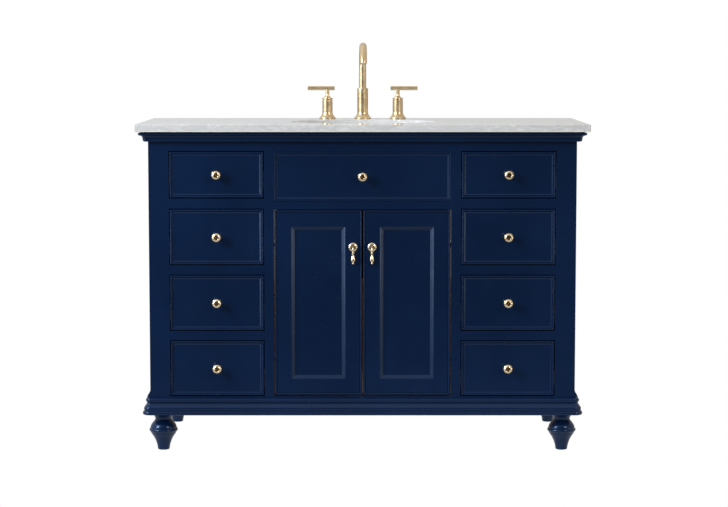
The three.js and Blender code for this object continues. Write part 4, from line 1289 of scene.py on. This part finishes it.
def spout():
    """A sleeve on its flange, the bent tube that rises from it, and the outlet at the tube's end."""
    radius, tube, bend, sleeve_top = 15.5, 10.3, 69, 88
    piece = Piece("tap_spout_turned", TAP_BRASS)
    sleeve = flange(24.5, radius) + [(radius, 52), (radius, 86.9), (14.9, 87.8), (13.8, sleeve_top)]
    sleeve += [(tube + 0.6, sleeve_top), (tube + 0.3, 87.4), (tube - 1, 87.0), (0, 87.0)]
    piece.turned(sleeve, (0, TAP_Y, DECK), UP, 64)
    spring = box_mm("tap_spout")[1].z - tube - bend  # where the tube starts to bend
    route = [(0, DECK + 80), (0, DECK + 120), (0, spring - 6)]
    route += [(y - bend, z) for y, z in arc((0, spring), bend, 0, 162, 40)]
    turn = Matrix.Rotation(math.radians(1), 3, "Z")
    route = [turn @ Vector((0, y, z)) + Vector((0, TAP_Y, 0)) for y, z in route]
    piece.tube(route, [tube] * (len(route) - 1) + [tube - 0.5], 40)
    piece.made("cabinet", "tap_brass", ("tap_spout",), 42)
    ahead = (route[-1] - route[-2]).normalized()
    lip = [(8.2, -2), (9.4, -2), (9.4, 0.9), (8.9, 1.4), (8.2, 1.4)]
    ring = Piece("spout_outlet", TAP_BRASS).turned(lip, route[-1], ahead, 40, pipe=True)
    ring.made("cabinet", "tap_brass", sharp=45)
    disc = [(0, -0.5), (8.1, -0.5), (8.1, 0.5), (7.0, 0.8), (6.2, 0.5), (0, 0.5)]
    aerator = Piece("spout_aerator", WHITE_PLASTIC).turned(disc, route[-1], ahead, 40)
    aerator.made("cabinet", None, sharp=45)


def valve_and_lever(side, sign):
    """A valve body on its flange, and the lever on it: a post with a bar across its top."""
    foot = (sign * TAP_SPREAD, TAP_Y, DECK)
    radius, top, bar_length, bar_back = 14.75, 60, 78, 21
    body = flange(23.5, radius) + [(radius, 40), (radius, 53.4), (14.2, 54.4), (13.5, 54.9), (13.5, 56.1)]
    body += [(14.3, 56.7), (15.3, 57.3), (15.5, 58.2), (15.3, 59.3), (14.5, top), (0, top)]
    valve = Piece(f"tap_valve_{side}_turned", TAP_BRASS).turned(body, foot, UP, 60)
    valve.made("cabinet", "tap_brass", (f"tap_valve_{side}",), 40)
    piece = Piece(f"tap_lever_{side}_turned", TAP_BRASS, TAP_BRASS_BAR)
    post = [(0, top + GAP), (9.6, top + GAP), (10, top + 0.7), (9.8, top + 1.8)]
    post += eased([(8.8, top + 2.6), (6.9, top + 4.2), (5.7, top + 7), (5.2, top + 11)], 3)
    post += [(5.2, LEVER_Z - 4), (0, LEVER_Z - 3)]
    piece.turned(post, foot, UP, 40)
    end = [(0, 0), (4.9, 0), (5.7, 0.3), (6, 1.0)]
    bar = end + [(6, 40)] + [(size, bar_length - along) for size, along in reversed(end)]
    start = (sign * (TAP_SPREAD - bar_back), TAP_Y, DECK + LEVER_Z)
    piece.turned(bar, start, (sign, 0, 0), 40, finish=1)
    piece.made(f"lever_{side}", "tap_brass", (f"tap_lever_{side}",), 40)


def thread_turn():
    """One turn of the shank's thread, as a ridge round it."""
    section = [(SHANK - 0.3, -0.55), (SHANK + 0.45, 0), (SHANK - 0.3, 0.55)]
    return loose_part(Piece("thread_turn").turned(section, (0, 0, 0), UP, 28, pipe=True))


def tap_fixings():
    """Threads, washers and nuts on the three shanks under the stone."""
    turn = thread_turn()
    turns, pitch, bore = 34, 1.5, SHANK + 0.5
    places = [((x, TAP_Y, DECK - 73), UP) for x in TAP_HOLES]
    mesh = stood(turn, places, TAP_BRASS, turns, (0, 0, pitch))
    remove(turn)
    Piece("shank_threads", TAP_BRASS).add_mesh(mesh).made("cabinet", "tap_brass", sharp=50)
    nuts = Piece("shank_nuts", TAP_BRASS)
    washers = Piece("shank_washers", BLACK_RUBBER)
    washer = [(bore, -2), (24, -2), (24, -0.1), (bore, -0.1)]
    for x in TAP_HOLES:
        under = (x, TAP_Y, stone_low.z)
        nuts.turned(nut(bore, 21.5, -12, -2, 1), under, UP, 6, pipe=True)
        washers.turned(washer, under, UP, 40, pipe=True)
    nuts.made("cabinet", "tap_brass", sharp=35)
    washers.made("cabinet", None, sharp=35)


# ---- Camera, light and floor ----
def camera():
    """A long lens a little over the deck, in front of the middle."""
    lens = bpy.data.cameras.new("camera")
    lens.sensor_width, lens.lens = 36, 105.48
    view = placed("camera", lens)
    view.location = (0.004, -5.967, 1.0947)
    view.rotation_euler = (math.radians(84.476), 0, 0)
    bpy.context.scene.camera = view


def soft_light(name, place, aim_height, size, power, colour):
    """A rectangular lamp, in metres, that faces the cabinet's front at a height."""
    lamp = bpy.data.lights.new(name, "AREA")
    lamp.shape = "RECTANGLE"
    lamp.size, lamp.size_y = size
    lamp.energy = power
    lamp.color = colour
    holder = placed(name, lamp)
    holder.location = place
    aim = Vector((0, -0.2, aim_height)) - Vector(place)
    holder.rotation_euler = aim.to_track_quat("-Z", "Y").to_euler()
    holder.visible_camera = False


COOL = (0.92, 0.97, 1.0)
WARM = (1.0, 0.94, 0.86)


def studio():
    """White all round for the camera; for the light itself, bright at the sides and dim in front."""
    soft_light("key_light", (-3.3, -2.2, 2.4), 0.6, (1.1, 1.8), 150, COOL)
    soft_light("fill_light", (2.6, -3.2, 2.3), 0.6, (0.8, 1.4), 42, WARM)
    soft_light("low_left_light", (-3.4, -1.6, 0.27), 0.5, (1.6, 0.44), 9, COOL)
    soft_light("low_right_light", (3.4, -1.6, 0.27), 0.5, (1.6, 0.44), 6, WARM)
    world = bpy.data.worlds.new("studio")
    bpy.context.scene.world = world
    world.use_nodes = True
    tree = world.node_tree
    tree.nodes.clear()
    ray = add(tree, "ShaderNodeLightPath").outputs["Is Camera Ray"]
    way = add(tree, "ShaderNodeTexCoord").outputs["Generated"]
    part = add(tree, "ShaderNodeSeparateXYZ", {0: way}).outputs
    turned = math_node(tree, "SUBTRACT", part["Y"], times(tree, part["X"], 0.15))
    front = spread(tree, turned, -0.90, -0.40, 0.16, 0.74)
    low = spread(tree, part["Y"], 0.2, 0.7, 1.0, 0.35)
    raised = spread(tree, part["Z"], -0.03, 0.03, 0.0, 1.0)
    behind = math_node(tree, "MAXIMUM", low, raised)
    overhead = spread(tree, part["Z"], 0.2, 0.9, 1.0, 1.25)
    glow = times(tree, times(tree, front, behind), overhead)
    seen = add(tree, "ShaderNodeBackground", {"Strength": 1.0, "Color": (1, 1, 1, 1)})
    side = spread(tree, part["X"], -0.5, 0.5, 0.0, 1.0)
    tone = tinted(tree, side, COOL, [0.76 * share for share in WARM])
    felt = add(tree, "ShaderNodeBackground", {"Strength": glow, "Color": tone})
    mixed = add(tree, "ShaderNodeMixShader", {0: ray, 1: felt.outputs[0], 2: seen.outputs[0]})
    output = add(tree, "ShaderNodeOutputWorld")
    tree.links.new(mixed.outputs[0], output.inputs["Surface"])


def floor():
    """A white floor that lights the undersides near the cabinet and stays dim further in front."""
    half, level = 2500, -0.3
    corners = [(x * half, y * half, level) for x, y in ((-1, -1), (1, -1), (1, 1), (-1, 1))]
    plane = loose_mesh("floor", corners, faces=[(0, 1, 2, 3)])
    paper = bpy.data.materials.new("floor_paper")
    paper.use_nodes = True
    tree = paper.node_tree
    tree.nodes.clear()
    place = add(tree, "ShaderNodeTexCoord").outputs["Object"]
    depth = along_axis(tree, place, "Y")
    grain = spread(tree, noise(tree, place, 300, 2.0), 0.3, 0.7, 0.97, 1.0)
    glow = times(tree, spread(tree, depth, -1.1, -0.5, 0.15, 0.62), grain)
    shown = add(tree, "ShaderNodeEmission", {"Strength": 1.0, "Color": (1, 1, 1, 1)})
    felt = add(tree, "ShaderNodeEmission", {"Strength": glow, "Color": (1, 1, 1, 1)})
    ray = add(tree, "ShaderNodeLightPath").outputs["Is Camera Ray"]
    mixed = add(tree, "ShaderNodeMixShader", {0: ray, 1: felt.outputs[0], 2: shown.outputs[0]})
    output = add(tree, "ShaderNodeOutputMaterial")
    tree.links.new(mixed.outputs[0], output.inputs["Surface"])
    plane.data.materials.append(paper)


# ---- Everything in its place ----
camera()
studio()
floor()
small_screw = screw_head(3.6, 1.1)
fine_screw = screw_head(2.6, 0.8)
pin_end = dovetail_pin()
face_frame()
crown()
base()
feet()
carcase()
drawers(pin_end, fine_screw)
false_front(fine_screw)
doors(fine_screw)
back_fixings(small_screw)
stone_top()
bowl_clips(bowl(), small_screw)
drain()
spout()
for side, sign in SIDES:
    valve_and_lever(side, sign)
tap_fixings()
remove(small_screw, fine_screw, pin_end)
bpy.context.scene.view_settings.view_transform = "Standard"
